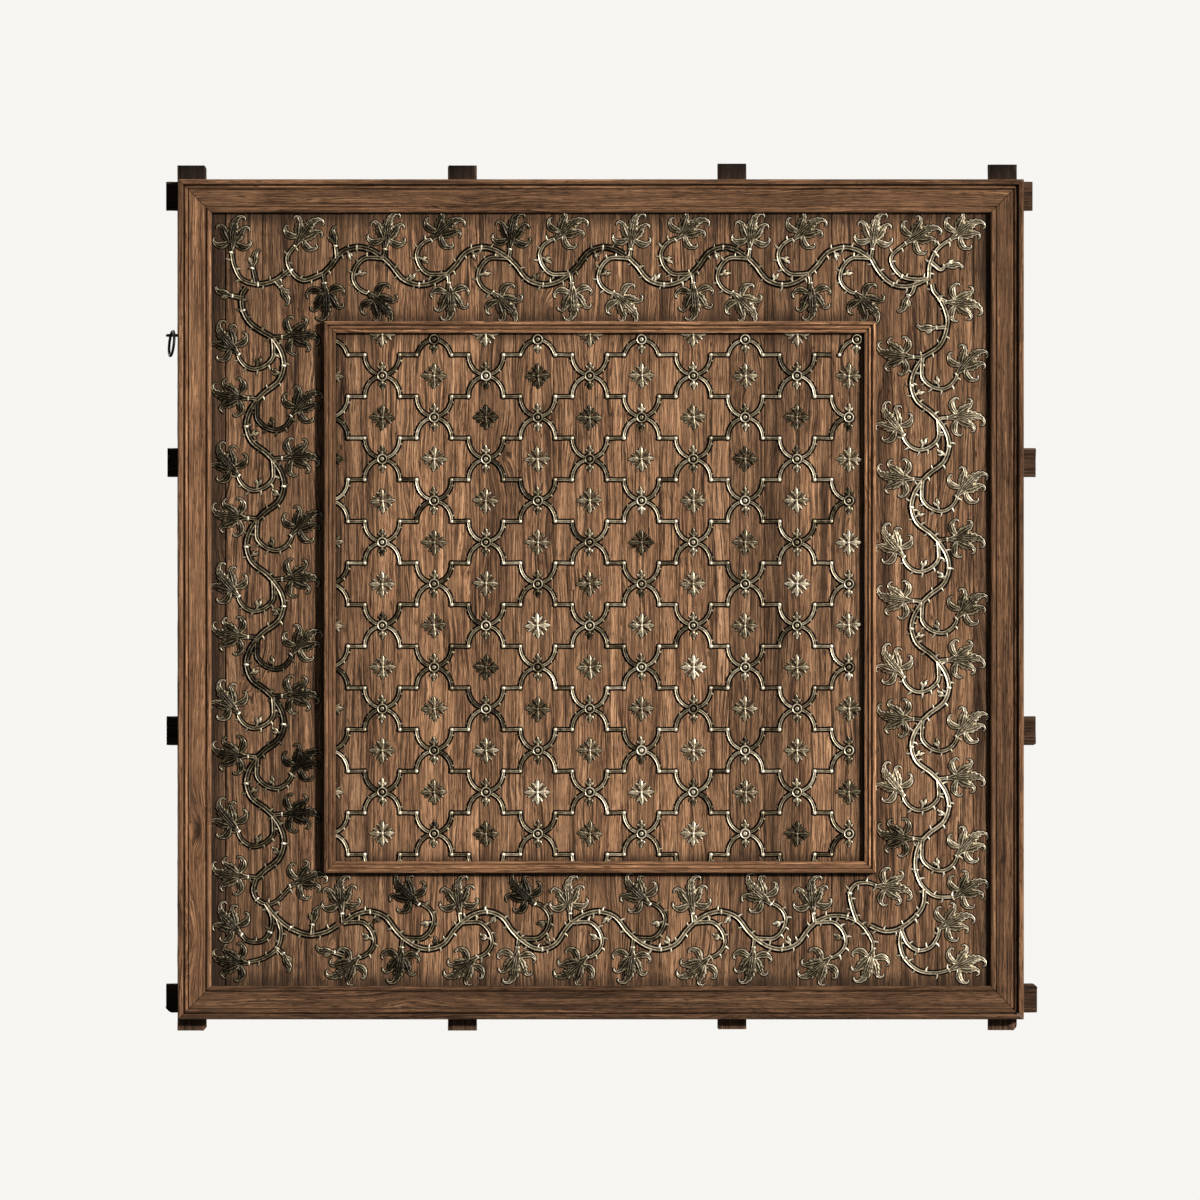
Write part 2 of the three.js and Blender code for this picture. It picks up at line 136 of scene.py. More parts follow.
def smoothLine(points, spacing):
    # a rounded line through the points, about spacing apart, with any further numbers carried along
    rows = [np.array(p, dtype=float) for p in points]
    first, last = 2 * rows[0] - rows[1], 2 * rows[-1] - rows[-2]
    rows = [first, *rows, last]
    made = []
    for i in range(1, len(rows) - 2):
        a, b, c, d = rows[i - 1:i + 3]
        steps = max(1, round(float(np.hypot(*(c - b)[:2])) / spacing))
        for k in range(steps):
            t = k / steps
            made.append(0.5 * (2 * b + (c - a) * t + (2 * a - 5 * b + 4 * c - d) * t ** 2
                               + (3 * b - a - 3 * c + d) * t ** 3))
    made.append(rows[-2])
    return np.array(made)


def wander(x, y, z, seed):
    return noise.noise(Vector((x, y, z + 17.3 * seed)))


# Geometry Nodes that set out repeats and draw lines.

def buildTree(name, kinds, inputs, links):
    # kinds: a short name for each node; links: from "node.socket" to "node.socket"
    tree = bpy.data.node_groups.new(name, "GeometryNodeTree")
    tree.interface.new_socket("Geometry", in_out="OUTPUT", socket_type="NodeSocketGeometry")
    for label, kind in {"Geometry": "Geometry", **inputs, "Material": "Material"}.items():
        tree.interface.new_socket(label, in_out="INPUT", socket_type=f"NodeSocket{kind}")
    kinds = {"start": "NodeGroupInput", "shape": "GeometryNodeObjectInfo", "times": "ShaderNodeMath",
             "real": "GeometryNodeRealizeInstances", "paint": "GeometryNodeSetMaterial",
             "end": "NodeGroupOutput", **kinds}
    made = {label: tree.nodes.new(kind) for label, kind in kinds.items()}
    made["times"].operation = "MULTIPLY"
    links = [*links, ("real.Geometry", "paint.Geometry"), ("start.Material", "paint.Material"),
             ("paint.Geometry", "end.Geometry")]
    for source, target in links:
        (a, output), (b, entry) = source.split("."), target.split(".")
        entry = int(entry) if entry.isdigit() else entry
        tree.links.new(made[a].outputs[output], made[b].inputs[entry])
    return tree, made


def makeScatterTree():
    # puts one shape on every point, turned and sized by the point's own numbers
    tree, made = buildTree("scatterShape", {
        "turn": "GeometryNodeInputNamedAttribute", "size": "GeometryNodeInputNamedAttribute",
        "spin": "ShaderNodeCombineXYZ", "spread": "GeometryNodeInstanceOnPoints",
    }, {"Shape": "Object", "Size": "Float"}, [
        ("start.Shape", "shape.Object"), ("turn.Attribute", "spin.Z"), ("size.Attribute", "times.0"),
        ("start.Size", "times.1"), ("start.Geometry", "spread.Points"), ("shape.Geometry", "spread.Instance"),
        ("spin.Vector", "spread.Rotation"), ("times.Value", "spread.Scale"),
        ("spread.Instances", "real.Geometry"),
    ])
    for label in ("turn", "size"):
        made[label].inputs["Name"].default_value = label
    return tree


def makeSweepTree():
    # draws a cross-section along every line, as thick as the line says at each place
    tree, made = buildTree("sweepSection", {
        "path": "GeometryNodeMeshToCurve", "section": "GeometryNodeMeshToCurve",
        "thick": "GeometryNodeInputNamedAttribute",
        "upright": "GeometryNodeSetCurveNormal", "sweep": "GeometryNodeCurveToMesh",
    }, {"Section": "Object", "Thickness": "Float"}, [
        ("start.Section", "shape.Object"), ("shape.Geometry", "section.Mesh"),
        ("start.Geometry", "path.Mesh"),
        ("path.Curve", "upright.Curve"), ("upright.Curve", "sweep.Curve"), ("thick.Attribute", "times.0"),
        ("start.Thickness", "times.1"), ("times.Value", "sweep.Scale"),
        ("section.Curve", "sweep.Profile Curve"),
        ("sweep.Mesh", "real.Geometry"),
    ])
    made["thick"].inputs["Name"].default_value = "thick"
    made["upright"].mode = "Z_UP"
    made["sweep"].inputs["Fill Caps"].default_value = True
    return tree


def runTree(tree, carrier, settings):
    # the evaluated result as a plain mesh; the carrier and its modifier are thrown away
    modifier = carrier.modifiers.new("nodes", "NODES")
    modifier.node_group = tree
    for socket in tree.interface.items_tree:
        if socket.in_out == "INPUT" and socket.name in settings:
            modifier[socket.identifier] = settings[socket.name]
    bpy.context.view_layer.update()
    ready = carrier.evaluated_get(bpy.context.evaluated_depsgraph_get())
    mesh = bpy.data.meshes.new_from_object(ready)
    bpy.data.objects.remove(carrier)
    return mesh


scatterTree = makeScatterTree()
sweepTree = makeSweepTree()


def scatter(shape, spots, material):
    # spots: (x, y, z, turn in degrees, size, tone)
    mesh = bpy.data.meshes.new("spots")
    mesh.from_pydata([tuple(map(float, s[:3])) for s in spots], [], [])
    addLayers(mesh, {"turn": [math.radians(s[3]) for s in spots], "size": [s[4] for s in spots],
                     "tone": [s[5] for s in spots]})
    return runTree(scatterTree, addObject("spots", mesh), {"Shape": shape, "Material": material, "Size": 1.0})


def sweep(section, lines, material):
    # lines: (array of x, y, z, thick; tone)
    points, edges, thick, tone = [], [], [], []
    for line, lineTone in lines:
        base = len(points)
        points += [tuple(map(float, p[:3])) for p in line]
        thick += [float(p[3]) for p in line]
        tone += [lineTone] * len(line)
        edges += [(base + i, base + i + 1) for i in range(len(line) - 1)]
    mesh = bpy.data.meshes.new("lines")
    mesh.from_pydata(points, edges, [])
    addLayers(mesh, {"thick": thick, "tone": tone})
    settings = {"Section": section, "Material": material, "Thickness": 1.0}
    return runTree(sweepTree, addObject("lines", mesh), settings)


def joinMeshes(name, meshes):
    makers = [addObject("joining", mesh) for mesh in meshes]
    work = bmesh.new()
    for maker in makers:
        work.from_mesh(maker.data)
    whole = bpy.data.meshes.new(name)
    work.to_mesh(whole)
    work.free()
    for maker in makers:
        bpy.data.objects.remove(maker)
    return whole


def hidden(name, mesh):
    # a shape that is only used by the node trees
    made = addObject(name, mesh)
    helpers.append(made)
    return made


helpers = []


# Old wood, brass and iron.

def newMaterial(name):
    material = bpy.data.materials.new(name)
    material.use_nodes = True
    tree = material.node_tree
    shader = next(node for node in tree.nodes if node.type == "BSDF_PRINCIPLED")
    return material, tree, shader


def addNode(tree, kind, inputs, output=0, **settings):
    # each input takes a number, a colour or another node's output
    node = tree.nodes.new(kind)
    for key, value in settings.items():
        setattr(node, key, value)
    for key, value in inputs.items():
        if isinstance(value, bpy.types.NodeSocket):
            tree.links.new(value, node.inputs[key])
        else:
            node.inputs[key].default_value = value
    return node.outputs[output]


def attribute(tree, name, output="Fac"):
    return addNode(tree, "ShaderNodeAttribute", {}, output, attribute_name=name)


def maths(tree, operation, a, b, clamp=False):
    return addNode(tree, "ShaderNodeMath", {0: a, 1: b}, operation=operation, use_clamp=clamp)


def stretched(tree, vector, scale, offset=(0, 0, 0)):
    return addNode(tree, "ShaderNodeMapping", {"Vector": vector, "Scale": scale, "Location": offset})


def cloud(tree, vector, scale=1.0, detail=3.0, rough=0.55):
    return addNode(tree, "ShaderNodeTexNoise", {"Vector": vector, "Scale": scale, "Detail": detail,
                                                "Roughness": rough}, "Fac")


def between(tree, value, low, high, to=(0.0, 1.0)):
    return addNode(tree, "ShaderNodeMapRange", {"Value": value, "From Min": low, "From Max": high,
                                                "To Min": to[0], "To Max": to[1]}, "Result")


def ramp(tree, value, stops):
    colour = addNode(tree, "ShaderNodeValToRGB", {"Fac": value}, "Color")
    elements = colour.node.color_ramp.elements
    while len(elements) < len(stops):
        elements.new(0.5)
    for element, (at, shade) in zip(elements, stops):
        element.position = at
        element.color = (*shade, 1)
    return colour


def mixColour(tree, factor, a, b, mode="MIX"):
    # 6 and 7 are the two colours, and 2 is the mixed one
    sockets = {0: factor}
    for key, value in ((6, a), (7, b)):
        sockets[key] = (*value, 1) if isinstance(value, tuple) else value
    return addNode(tree, "ShaderNodeMix", sockets, 2, data_type="RGBA", blend_type=mode)


def addBump(tree, shader, height, distance, strength):
    normal = addNode(tree, "ShaderNodeBump", {"Distance": distance, "Strength": strength, "Height": height},
                     "Normal")
    tree.links.new(normal, shader.inputs["Normal"])


def woodMaterial(name, look):
    # grain: along, across and depth in metres; tone: light or dark piece, and painted light and shade on the
    # rails, mouldings, batten ends and first board;
    # wear and shade: rubbed edges up; grime in hollows, and painted shade beside the rails and mouldings,
    # down
    material, tree, shader = newMaterial(name)
    link = tree.links.new
    grain = attribute(tree, "grain", "Vector")
    tone = attribute(tree, "tone")
    wearAndShade = attribute(tree, "wearAndShade")

    def plus(a, b):
        return maths(tree, "ADD", a, b)

    def times(a, b):
        return maths(tree, "MULTIPLY", a, b)

    def minus(a, b):
        return maths(tree, "SUBTRACT", a, b)

    def fog(vector, scale, detail, rough, offset=(0, 0, 0)):
        return cloud(tree, stretched(tree, vector, scale, offset), 1.0, detail, rough)

    def stain(colour, pattern, low, high, most, other):
        return mixColour(tree, between(tree, pattern, low, high, (0.0, most)), colour, other)

    bend = fog(grain, (2.0, 11, 11), 3.0, 0.5)
    # knots: the grain swells round them, and the heart is dark
    spread = stretched(tree, grain, (4.2, 13, 3), (0.3, 0.2, 0))
    knot = addNode(tree, "ShaderNodeTexVoronoi", {"Vector": spread, "Scale": 1.0}, "Distance")
    chosen = addNode(tree, "ShaderNodeSeparateColor", {0: knot.node.outputs["Color"]})
    isKnot = between(tree, chosen, 0.72, 0.74)
    swell = maths(tree, "POWER", between(tree, knot, 0.55, 0.0), 2.0)
    swell = times(times(swell, isKnot), 0.030)
    heart = times(between(tree, knot, 0.13, 0.05), isKnot)
    bendBy = addNode(tree, "ShaderNodeCombineXYZ", {"Y": plus(times(minus(bend, 0.5), look["bend"]), swell)})
    lines = addNode(tree, "ShaderNodeVectorMath", {0: grain, 1: bendBy}, operation="ADD")
    rings = fog(lines, (1.1, look["rings"], look["rings"]), 5.0, 0.7)
    fibres = fog(lines, (11, 420, 420), 4.0, 0.72)
    pores = fog(lines, (34, 620, 620), 2.0, 0.6, (3, 1, 5))
    patches = fog(grain, (5, 16, 16), 4.0, 0.6, (9, 2, 4))
    streaks = fog(lines, (3.4, 230, 230), 4.0, 0.72, (1, 7, 2))
    bands = fog(lines, (1.3, 36, 36), 3.0, 0.6, (4, 3, 8))
    body = plus(times(rings, 0.42), times(fibres, 0.58))
    colour = ramp(tree, between(tree, body, 0.40, 0.60), look["stops"])
    colour = stain(colour, streaks, 0.50, 0.60, look["streaks"], look["dark"])
    colour = stain(colour, bands, 0.54, 0.70, look["bands"], look["dark"])
    colour = stain(colour, pores, 0.54, 0.61, 0.9, look["dark"])
    colour = mixColour(tree, times(heart, 0.8), colour, look["dark"])
    colour = stain(colour, patches, 0.35, 0.8, 0.4, look["pale"])
    # the whole piece is lightened or darkened by its tone; on the rails, mouldings, batten ends and first
    # board this is painted light and shade
    level = plus(tone, times(minus(patches, 0.5), 0.5))
    shade = addNode(tree, "ShaderNodeCombineColor", {0: level, 1: level, 2: level})
    colour = mixColour(tree, 1.0, colour, shade, "MULTIPLY")
    # painted shade: this darkening also carries the shade painted on the boards beside the rails and
    # mouldings, along with grime in hollows
    grimeAndShade = plus(times(wearAndShade, -1.0), times(minus(patches, 0.5), 0.8))
    colour = stain(colour, grimeAndShade, 0.1, 1.1, 0.85, look["grimeAndShade"])
    rubbed = plus(wearAndShade, minus(streaks, 0.5))
    colour = stain(colour, rubbed, 0.3, 1.3, 0.55, look["rubbed"])
    link(colour, shader.inputs["Base Color"])
    link(between(tree, fibres, 0.3, 0.7, (0.62, 0.82)), shader.inputs["Roughness"])
    shader.inputs["Specular IOR Level"].default_value = 0.12
    height = plus(times(fibres, 0.5), times(rings, 0.6))
    height = minus(height, between(tree, streaks, 0.55, 0.75, (0.0, 0.45)))
    height = minus(height, between(tree, pores, 0.58, 0.72, (0.0, 0.35)))
    addBump(tree, shader, height, look["bump"], 1.0)
    return material


boardWood = woodMaterial("boardWood", {
    "stops": [(0.0, (0.020, 0.009, 0.005)), (0.27, (0.140, 0.066, 0.033)), (0.60, (0.36, 0.185, 0.093)),
              (1.0, (0.64, 0.37, 0.205))],
    "dark": (0.020, 0.010, 0.005), "pale": (0.33, 0.18, 0.094), "grimeAndShade": (0.016, 0.009, 0.005),
    "rubbed": (0.38, 0.235, 0.14), "bend": 0.060, "bands": 0.72, "rings": 62, "streaks": 1.0, "bump": 0.0019,
})
frameWood = woodMaterial("frameWood", {
    "stops": [(0.0, (0.030, 0.014, 0.007)), (0.38, (0.115, 0.055, 0.026)), (0.75, (0.20, 0.100, 0.049)),
              (1.0, (0.36, 0.195, 0.103))],
    "dark": (0.016, 0.008, 0.004), "pale": (0.23, 0.12, 0.062), "grimeAndShade": (0.008, 0.004, 0.002),
    "rubbed": (0.36, 0.21, 0.12), "bend": 0.030, "bands": 0.5, "rings": 80, "streaks": 0.8, "bump": 0.0014,
})
battenWood = woodMaterial("battenWood", {
    "stops": [(0.0, (0.030, 0.016, 0.009)), (0.4, (0.075, 0.038, 0.021)), (0.75, (0.13, 0.068, 0.038)),
              (1.0, (0.19, 0.105, 0.06))],
    "dark": (0.012, 0.007, 0.004), "pale": (0.15, 0.08, 0.045), "grimeAndShade": (0.008, 0.005, 0.003),
    "rubbed": (0.22, 0.13, 0.078), "bend": 0.012, "bands": 0.4, "rings": 60, "streaks": 0.8, "bump": 0.0016,
})


def brassMaterial(name, look):
    # relief: 0 in the hollows and down the sides, where patina lies and a dark skirt stands in as painted
    # shadow; 1 on rubbed crests and edges, which carry a painted highlight; tone: bright or dull casting
    material, tree, shader = newMaterial(name)
    link = tree.links.new
    here = tree.nodes.new("ShaderNodeTexCoord").outputs["Object"]
    relief = attribute(tree, "relief")
    tone = attribute(tree, "tone")
    tarnish = cloud(tree, here, 95, 4.0, 0.65)
    grit = cloud(tree, here, 620, 3.0, 0.6)
    uneven = maths(tree, "MULTIPLY", maths(tree, "SUBTRACT", tarnish, 0.5), 1.1)
    uneven = maths(tree, "ADD", uneven, maths(tree, "MULTIPLY", maths(tree, "SUBTRACT", grit, 0.5), 0.35))
    level = maths(tree, "ADD", relief, uneven)
    level = maths(tree, "ADD", level, maths(tree, "SUBTRACT", tone, 1.0), clamp=True)
    # painted highlight: the highest level is near white and less metallic, so crests and edges look bright
    # under any lamp
    colour = ramp(tree, level, look["stops"])
    link(colour, shader.inputs["Base Color"])
    link(between(tree, level, 0.1, 0.9, (0.1, 0.55)), shader.inputs["Metallic"])
    link(between(tree, tarnish, 0.3, 0.7, (0.30, 0.50)), shader.inputs["Roughness"])
    link(between(tree, level, 0.1, 0.6, (0.04, 0.5)), shader.inputs["Specular IOR Level"])
    addBump(tree, shader, maths(tree, "ADD", tarnish, maths(tree, "MULTIPLY", grit, 0.6)), 0.0006, 0.55)
    return material


oldBrass = brassMaterial("oldBrass", {
    "stops": [(0.0, (0.004, 0.003, 0.002)), (0.3, (0.028, 0.022, 0.011)), (0.52, (0.135, 0.100, 0.052)),
              (0.78, (0.46, 0.375, 0.235)), (1.0, (0.93, 0.83, 0.64))],
})


def ironMaterial():
    material, tree, shader = newMaterial("blackIron")
    here = tree.nodes.new("ShaderNodeTexCoord").outputs["Object"]
    scale = cloud(tree, here, 240, 4.0, 0.6)
    link = tree.links.new
    link(ramp(tree, scale, [(0.3, (0.006, 0.006, 0.006)), (0.6, (0.022, 0.018, 0.015)),
                            (0.75, (0.05, 0.03, 0.02))]), shader.inputs["Base Color"])
    shader.inputs["Metallic"].default_value = 0.75
    link(between(tree, scale, 0.3, 0.7, (0.42, 0.62)), shader.inputs["Roughness"])
    addBump(tree, shader, scale, 0.0006, 0.6)
    return material


blackIron = ironMaterial()
print("materials ready")


# Battens, half-lapped at the back.

battens = {
    "wide": 66, "thick": 45, "round": 1.6, "step": 14, "rough": 0.9, "hollow": 0.7, "perSide": 7,
    # a corner starts at this share of the half width; and how ragged the sawn ends are
    "corner": 0.93, "endRough": (1.2, 1.4, 1.5),
    "columnLines": [-921, -312, 295, 904], "rowLines": [908, 308, -296, -898],
    "columnUp": [979, 979, 983, 981], "columnDown": [973, 973, 970, 972],
    "rowLeft": [981, 978, 980, 981], "rowRight": [974, 981, 981, 984],
    # how dark each piece is at its two ends, and between them; the dark left ends are painted shade, and the
    # top ends are darker too
    "tones": {"upright": (1.05, 0.9, 0.08), "level": (0.12, 0.9, 0.72)},
    # which batten, at its far or near end, on which side of its width, and how much is gone
    "worn": {
        "upright": [(0, 1, 1, 7), (0, -1, 1, 9), (1, 1, -1, 5), (3, -1, 1, 10), (2, 1, 1, 3), (2, -1, -1, 4)],
        "level": [(3, -1, -1, 12), (3, 1, 1, 10), (2, 1, -1, 6), (0, -1, 1, 3), (1, 1, 1, 3), (2, -1, -1, 3)],
    },
}


def battenPiece(kind, index):
    upright = kind == "upright"
    seed = index + (0 if upright else 10)
    wide, thick, gap = battens["wide"], battens["thick"], place["gap"]
    line = battens["columnLines" if upright else "rowLines"][index]
    if upright:
        start, end, crossings = -battens["columnDown"][index], battens["columnUp"][index], battens["rowLines"]
    else:
        start, end, crossings = -battens["rowLeft"][index], battens["rowRight"][index], battens["columnLines"]
    half = wide / 2 + gap
    deep = thick / 2 + (gap / 2 if upright else -gap / 2)
    stations = {start, end}
    stations |= set(np.linspace(start, end, int((end - start) / battens["step"])).round(2).tolist())
    stations |= {start + 2, start + 5, start + 9, end - 2, end - 5, end - 9}
    stations = sorted(s for s in stations if all(abs(abs(s - c) - half) > 2 for c in crossings))
    for c in crossings:
        stations += [c - half - 0.02, c - half + 0.02, c + half - 0.02, c + half + 0.02]
    stations.sort()
    per, corner = battens["perSide"], battens["corner"]

    def ring(at):
        notched = any(abs(at - c) < half for c in crossings)
        low, high = (deep, thick) if upright and notched else (0, deep) if notched else (0, thick)
        w = wide / 2
        corners = [(-w, low), (w, low), (w, high), (-w, high)]
        made = []
        for k in range(4):
            a, b = np.array(corners[k]), np.array(corners[(k + 1) % 4])
            for i in range(per):
                made.append(a + (b - a) * i / per)
        made = np.array(made)
        fromEnd = min(at - start, end - at)
        side = 1 if at > 0 else -1
        pull = 0
        for which, farEnd, across, size in battens["worn"][kind]:
            if which == index and farEnd == side and fromEnd < size:
                pull = (size - fromEnd) * 0.95
                reach = w - pull
                made[:, 0] = np.where(made[:, 0] * across > reach, across * reach, made[:, 0])
        return made, (low, high)

    points, grain, wearAndShade = [], [], []
    for at in stations:
        outline, (low, high) = ring(at)
        fromEnd = min(at - start, end - at)
        for across, up in outline:
            toMiddle = np.array([-across / (wide / 2), -(up - (low + high) / 2) / ((high - low) / 2)])
            edge = min(abs(toMiddle))
            bite = battens["rough"] * (0.5 + 0.5 * wander(at / 22, across / 14, up / 14, seed))
            bite += battens["hollow"] * max(0, wander(at / 60, across / 30, up / 30, seed + 3))
            bite += battens["round"] * (edge > corner)
            move = toMiddle * np.array([abs(toMiddle[0]) > corner, abs(toMiddle[1]) > corner]) * bite
            endBite = 0
            if fromEnd < 1:
                base, ragged, atCorner = battens["endRough"]
                endBite = base + ragged * wander(across / 9, up / 9, 3, seed)
                endBite += atCorner * (max(abs(toMiddle)) > corner)
                endBite = max(0, endBite) * (1 if at < 0 else -1)
            a, u = across + move[0], up + move[1]
            p = (line + a, at + endBite, u) if upright else (at + endBite, line + a, u)
            points.append(p)
            grain.append(((at + endBite) / 1000 + 3 * seed, a / 1000 + 0.37 * seed, u / 1000))
            wearAndShade.append(0.55 * (edge > corner) - 0.5 * wander(at / 90, across / 40, up / 40, seed + 7))
    # painted shade: the ends' colour is darkened, most at the left ends
    near, middleTone, far = battens["tones"][kind]
    tones = []
    for at in stations:
        share = (at - start) / (end - start)
        ends = max(0, 1 - min(share, 1 - share) * 14)
        tones += [middleTone + ((near if share < 0.5 else far) - middleTone) * ends] * 4 * per
    faces = tubeFaces(len(stations), 4 * per)
    mesh = meshFrom("batten", points, faces, {"wearAndShade": wearAndShade, "tone": tones}, grain)
    outward(mesh)
    name = f"{kind}Batten{index + 1}"
    finishPiece(name, mesh, battenWood, [f"batten_{kind}_{index + 1}"], 35)


for kind in ("upright", "level"):
    for index in range(4):
        battenPiece(kind, index)
print("battens ready")


# Boards, side by side on the battens.

opening = {"width": 1753, "height": 1740, "rail": 75, "rebate": 28}
innerFrame = {"width": 1190, "height": 1189, "rail": 26, "x": -2, "z": 5}
boards = {
    "widths": [61, 81, 82, 84, 84, 82, 76, 81, 81, 85, 76, 79, 84, 73, 84, 79, 79, 72, 76, 81, 81, 81],
    "seam": 0.5, "openSeam": 2.5, "lapDepth": 8, "lapOver": 0.2, "round": 0.7, "step": 20,
    "hollow": 0.28, "uneven": 0.25,
    # painted shade: how far the shade painted beside the rail and the moulding reaches, and how much darker
    # the border is towards its top and bottom ends
    "byRail": 45, "byMoulding": 34, "atEnds": 0.30,
    # the first board's dark tone is painted shade beside the outer rail; the others differ from board to
    # board
    "tones": [0.34, 0.70, 0.70, 0.80, 0.74, 1.00, 1.12, 1.08, 0.82, 0.92, 0.94, 1.08, 0.98, 1.12, 0.92, 0.66,
              0.62, 0.98, 0.84, 0.86, 0.84, 0.80, 0.78],
}
boardHalf = opening["height"] / 2 + opening["rebate"] - place["gap"]
boardsRight = opening["width"] / 2 + opening["rebate"] - place["gap"]


def frameShadeAndEndsAt(x, y):
    # painted shade beside the rails and mouldings, and the border darker towards its top and bottom
    toRail = min(opening["width"] / 2 - abs(x), opening["height"] / 2 - abs(y))
    dx = abs(x - innerFrame["x"]) - innerFrame["width"] / 2
    dy = abs(y - innerFrame["z"]) - innerFrame["height"] / 2
    outside = max(dx, dy)
    toInner = -outside if outside < 0 else max(0, outside - innerFrame["rail"])
    near = max(0, 1 - abs(toRail) / boards["byRail"]), max(0, 1 - toInner / boards["byMoulding"])
    ends = boards["atEnds"] * min(1, max(0, (abs(y) - 600) / 60))
    return max(near) ** 1.5 + ends


def boardPiece(number, left, right, lap):
    stations = np.linspace(-boardHalf, boardHalf, int(2 * boardHalf / boards["step"]))
    inset = boards["round"]
    steps = [0, inset * 0.35, inset, *np.linspace(inset, right - left - inset, 8)[1:-1].tolist(),
             right - left - inset, right - left - inset * 0.35, right - left]
    dips = [inset, inset * 0.3, 0, *[0] * 6, 0, inset * 0.3, inset]
    back = face - place["boardThick"]
    points, grain, wearAndShade = [], [], []
    for at in stations:
        sideNoise = [boards["uneven"] * (0.5 + 0.5 * wander(at / 60, 0, side, number)) for side in (0, 9)]
        for k, (across, dip) in enumerate(zip(steps, dips)):
            x = left + across
            x += sideNoise[0] if k < 3 else -sideNoise[1] if k > len(steps) - 4 else 0
            sag = boards["hollow"] * (0.5 + 0.5 * wander(at / 130, x / 40, 1, number))
            points.append((x, at, face - dip - sag))
            edge = min(k, len(steps) - 1 - k) < 2
            # the seams are darker, and painted shade lies beside the rails and mouldings
            wearAndShade.append(-0.35 * edge - 0.95 * frameShadeAndEndsAt(x, at) - 0.22 * wander(at / 200, x / 90, 5, 3))
            grain.append((at / 1000 + 2.3 * number, x / 1000 + 0.71 * number, 0.1 * number))
        # the back half of the right edge laps the next board, so that no light comes through the seam
        step = face - boards["lapDepth"]
        for x, z in ((right - sideNoise[1], step), (lap, step), (lap, back), (left + sideNoise[0], back)):
            points.append((x, at, z))
            wearAndShade.append(-0.9 if z > back else -0.3)
            deep = (face - z) / 1000
            grain.append((at / 1000 + 2.3 * number, x / 1000 + 0.71 * number, 0.1 * number + deep))
    faces = tubeFaces(len(stations), len(steps) + 4)
    tones = [boards["tones"][number]] * len(points)
    mesh = meshFrom("board", points, faces, {"wearAndShade": wearAndShade, "tone": tones}, grain)
    outward(mesh)
    label = f"{number + 1:02d}"
    finishPiece(f"board{label}", mesh, boardWood, [f"board_{label}"], 50)


boardLeft = -boardsRight
boardWidths = [*boards["widths"], 2 * boardsRight - sum(boards["widths"])]
for number, width in enumerate(boardWidths):
    seam = boards["openSeam"] if number == 0 else boards["seam"]
    last = number == len(boardWidths) - 1
    right = boardsRight if last else boardLeft + width - seam
    boardPiece(number, boardLeft, right, boardsRight if last else boardLeft + width + boards["lapOver"])
    boardLeft += width
print("boards ready")


# Moulded rails, mitred at the corners.

def bead(start, end, low, high, steps=9):
    middle, half = (start + end) / 2, (end - start) / 2
    angles = [math.pi * (1 - i / steps) for i in range(steps + 1)]
    return [(middle + half * math.cos(a), low + (high - low) * math.sin(a)) for a in angles]


outerRail = {
    "outline": [
        (0, 0.3), (0, 4), *bead(0.01, 11.5, 8.5, 13), (12.2, 8), (13, 7.5), (13.8, 8), (15, 10), (17, 10),
        (24, 9.7), (32, 9.6), (41, 9.8), (48, 10.3), (50, 10.5), (51.2, 8), (52, 7.5), (52.8, 8),
        *bead(53.5, 61, 9, 13, 7), (62, 8.2), (62.5, 8), (63.3, 12), (63.5, 18), (64.4, 19.4), (66, 20),
        (69, 20), (72, 20), (74, 19), (75, 17), (75, 8), (75, 0), (75, -9), (75, -18.3), (50, -18.3),
        (28, -18.3), (28, -9), (28, 0.3), (14, 0.3),
    ],
    "step": 26, "wobble": 0.55,
    # painted light: each side of the rail is lightened or darkened in colour for how the light falls on it
    "tones": {"top": 1.13, "right": 0.94, "bottom": 0.72, "left": 1.5},
    # the square outer edge is painted paler on one side and darker on the other, as painted light for how the
    # light falls on it
    "edgeFrom": 62.4, "paintedEdgeLight": {"top": 1.0, "right": 1.3, "bottom": 1.0, "left": 0.76},
}
innerRail = {
    "outline": [
        (0, 0.3), (0, 5), (0, 10), (0.6, 11.8), (2, 12.5), (4.2, 12.7), (6.5, 12.5), (7.5, 11), (8.2, 13),
        (9, 14.5), (10.5, 16.5), (12.8, 16.8), (15, 16.5), (16, 15), (16.8, 17), (17.5, 19), (18.6, 21),
        (19.5, 22), (21.3, 22), (23, 22), (25, 21), (26, 19), (26, 12), (26, 5), (26, 0.3), (12, 0.3),
    ],
    "step": 22, "wobble": 0.45,
    # painted light: the moulding's sides are lightened in colour, the right one most, where it lies in shade
    "tones": {"top": 1.9, "right": 2.5, "bottom": 1.72, "left": 1.08},
    "edgeFrom": 20, "paintedEdgeLight": {"top": 1.0, "right": 1.0, "bottom": 1.0, "left": 1.0},
}


# small chips along the rails, and how much darker the wood is at the mitres
railWear = {"chip": 1.1, "chipFrom": 0.38, "mitreDark": 1.6}


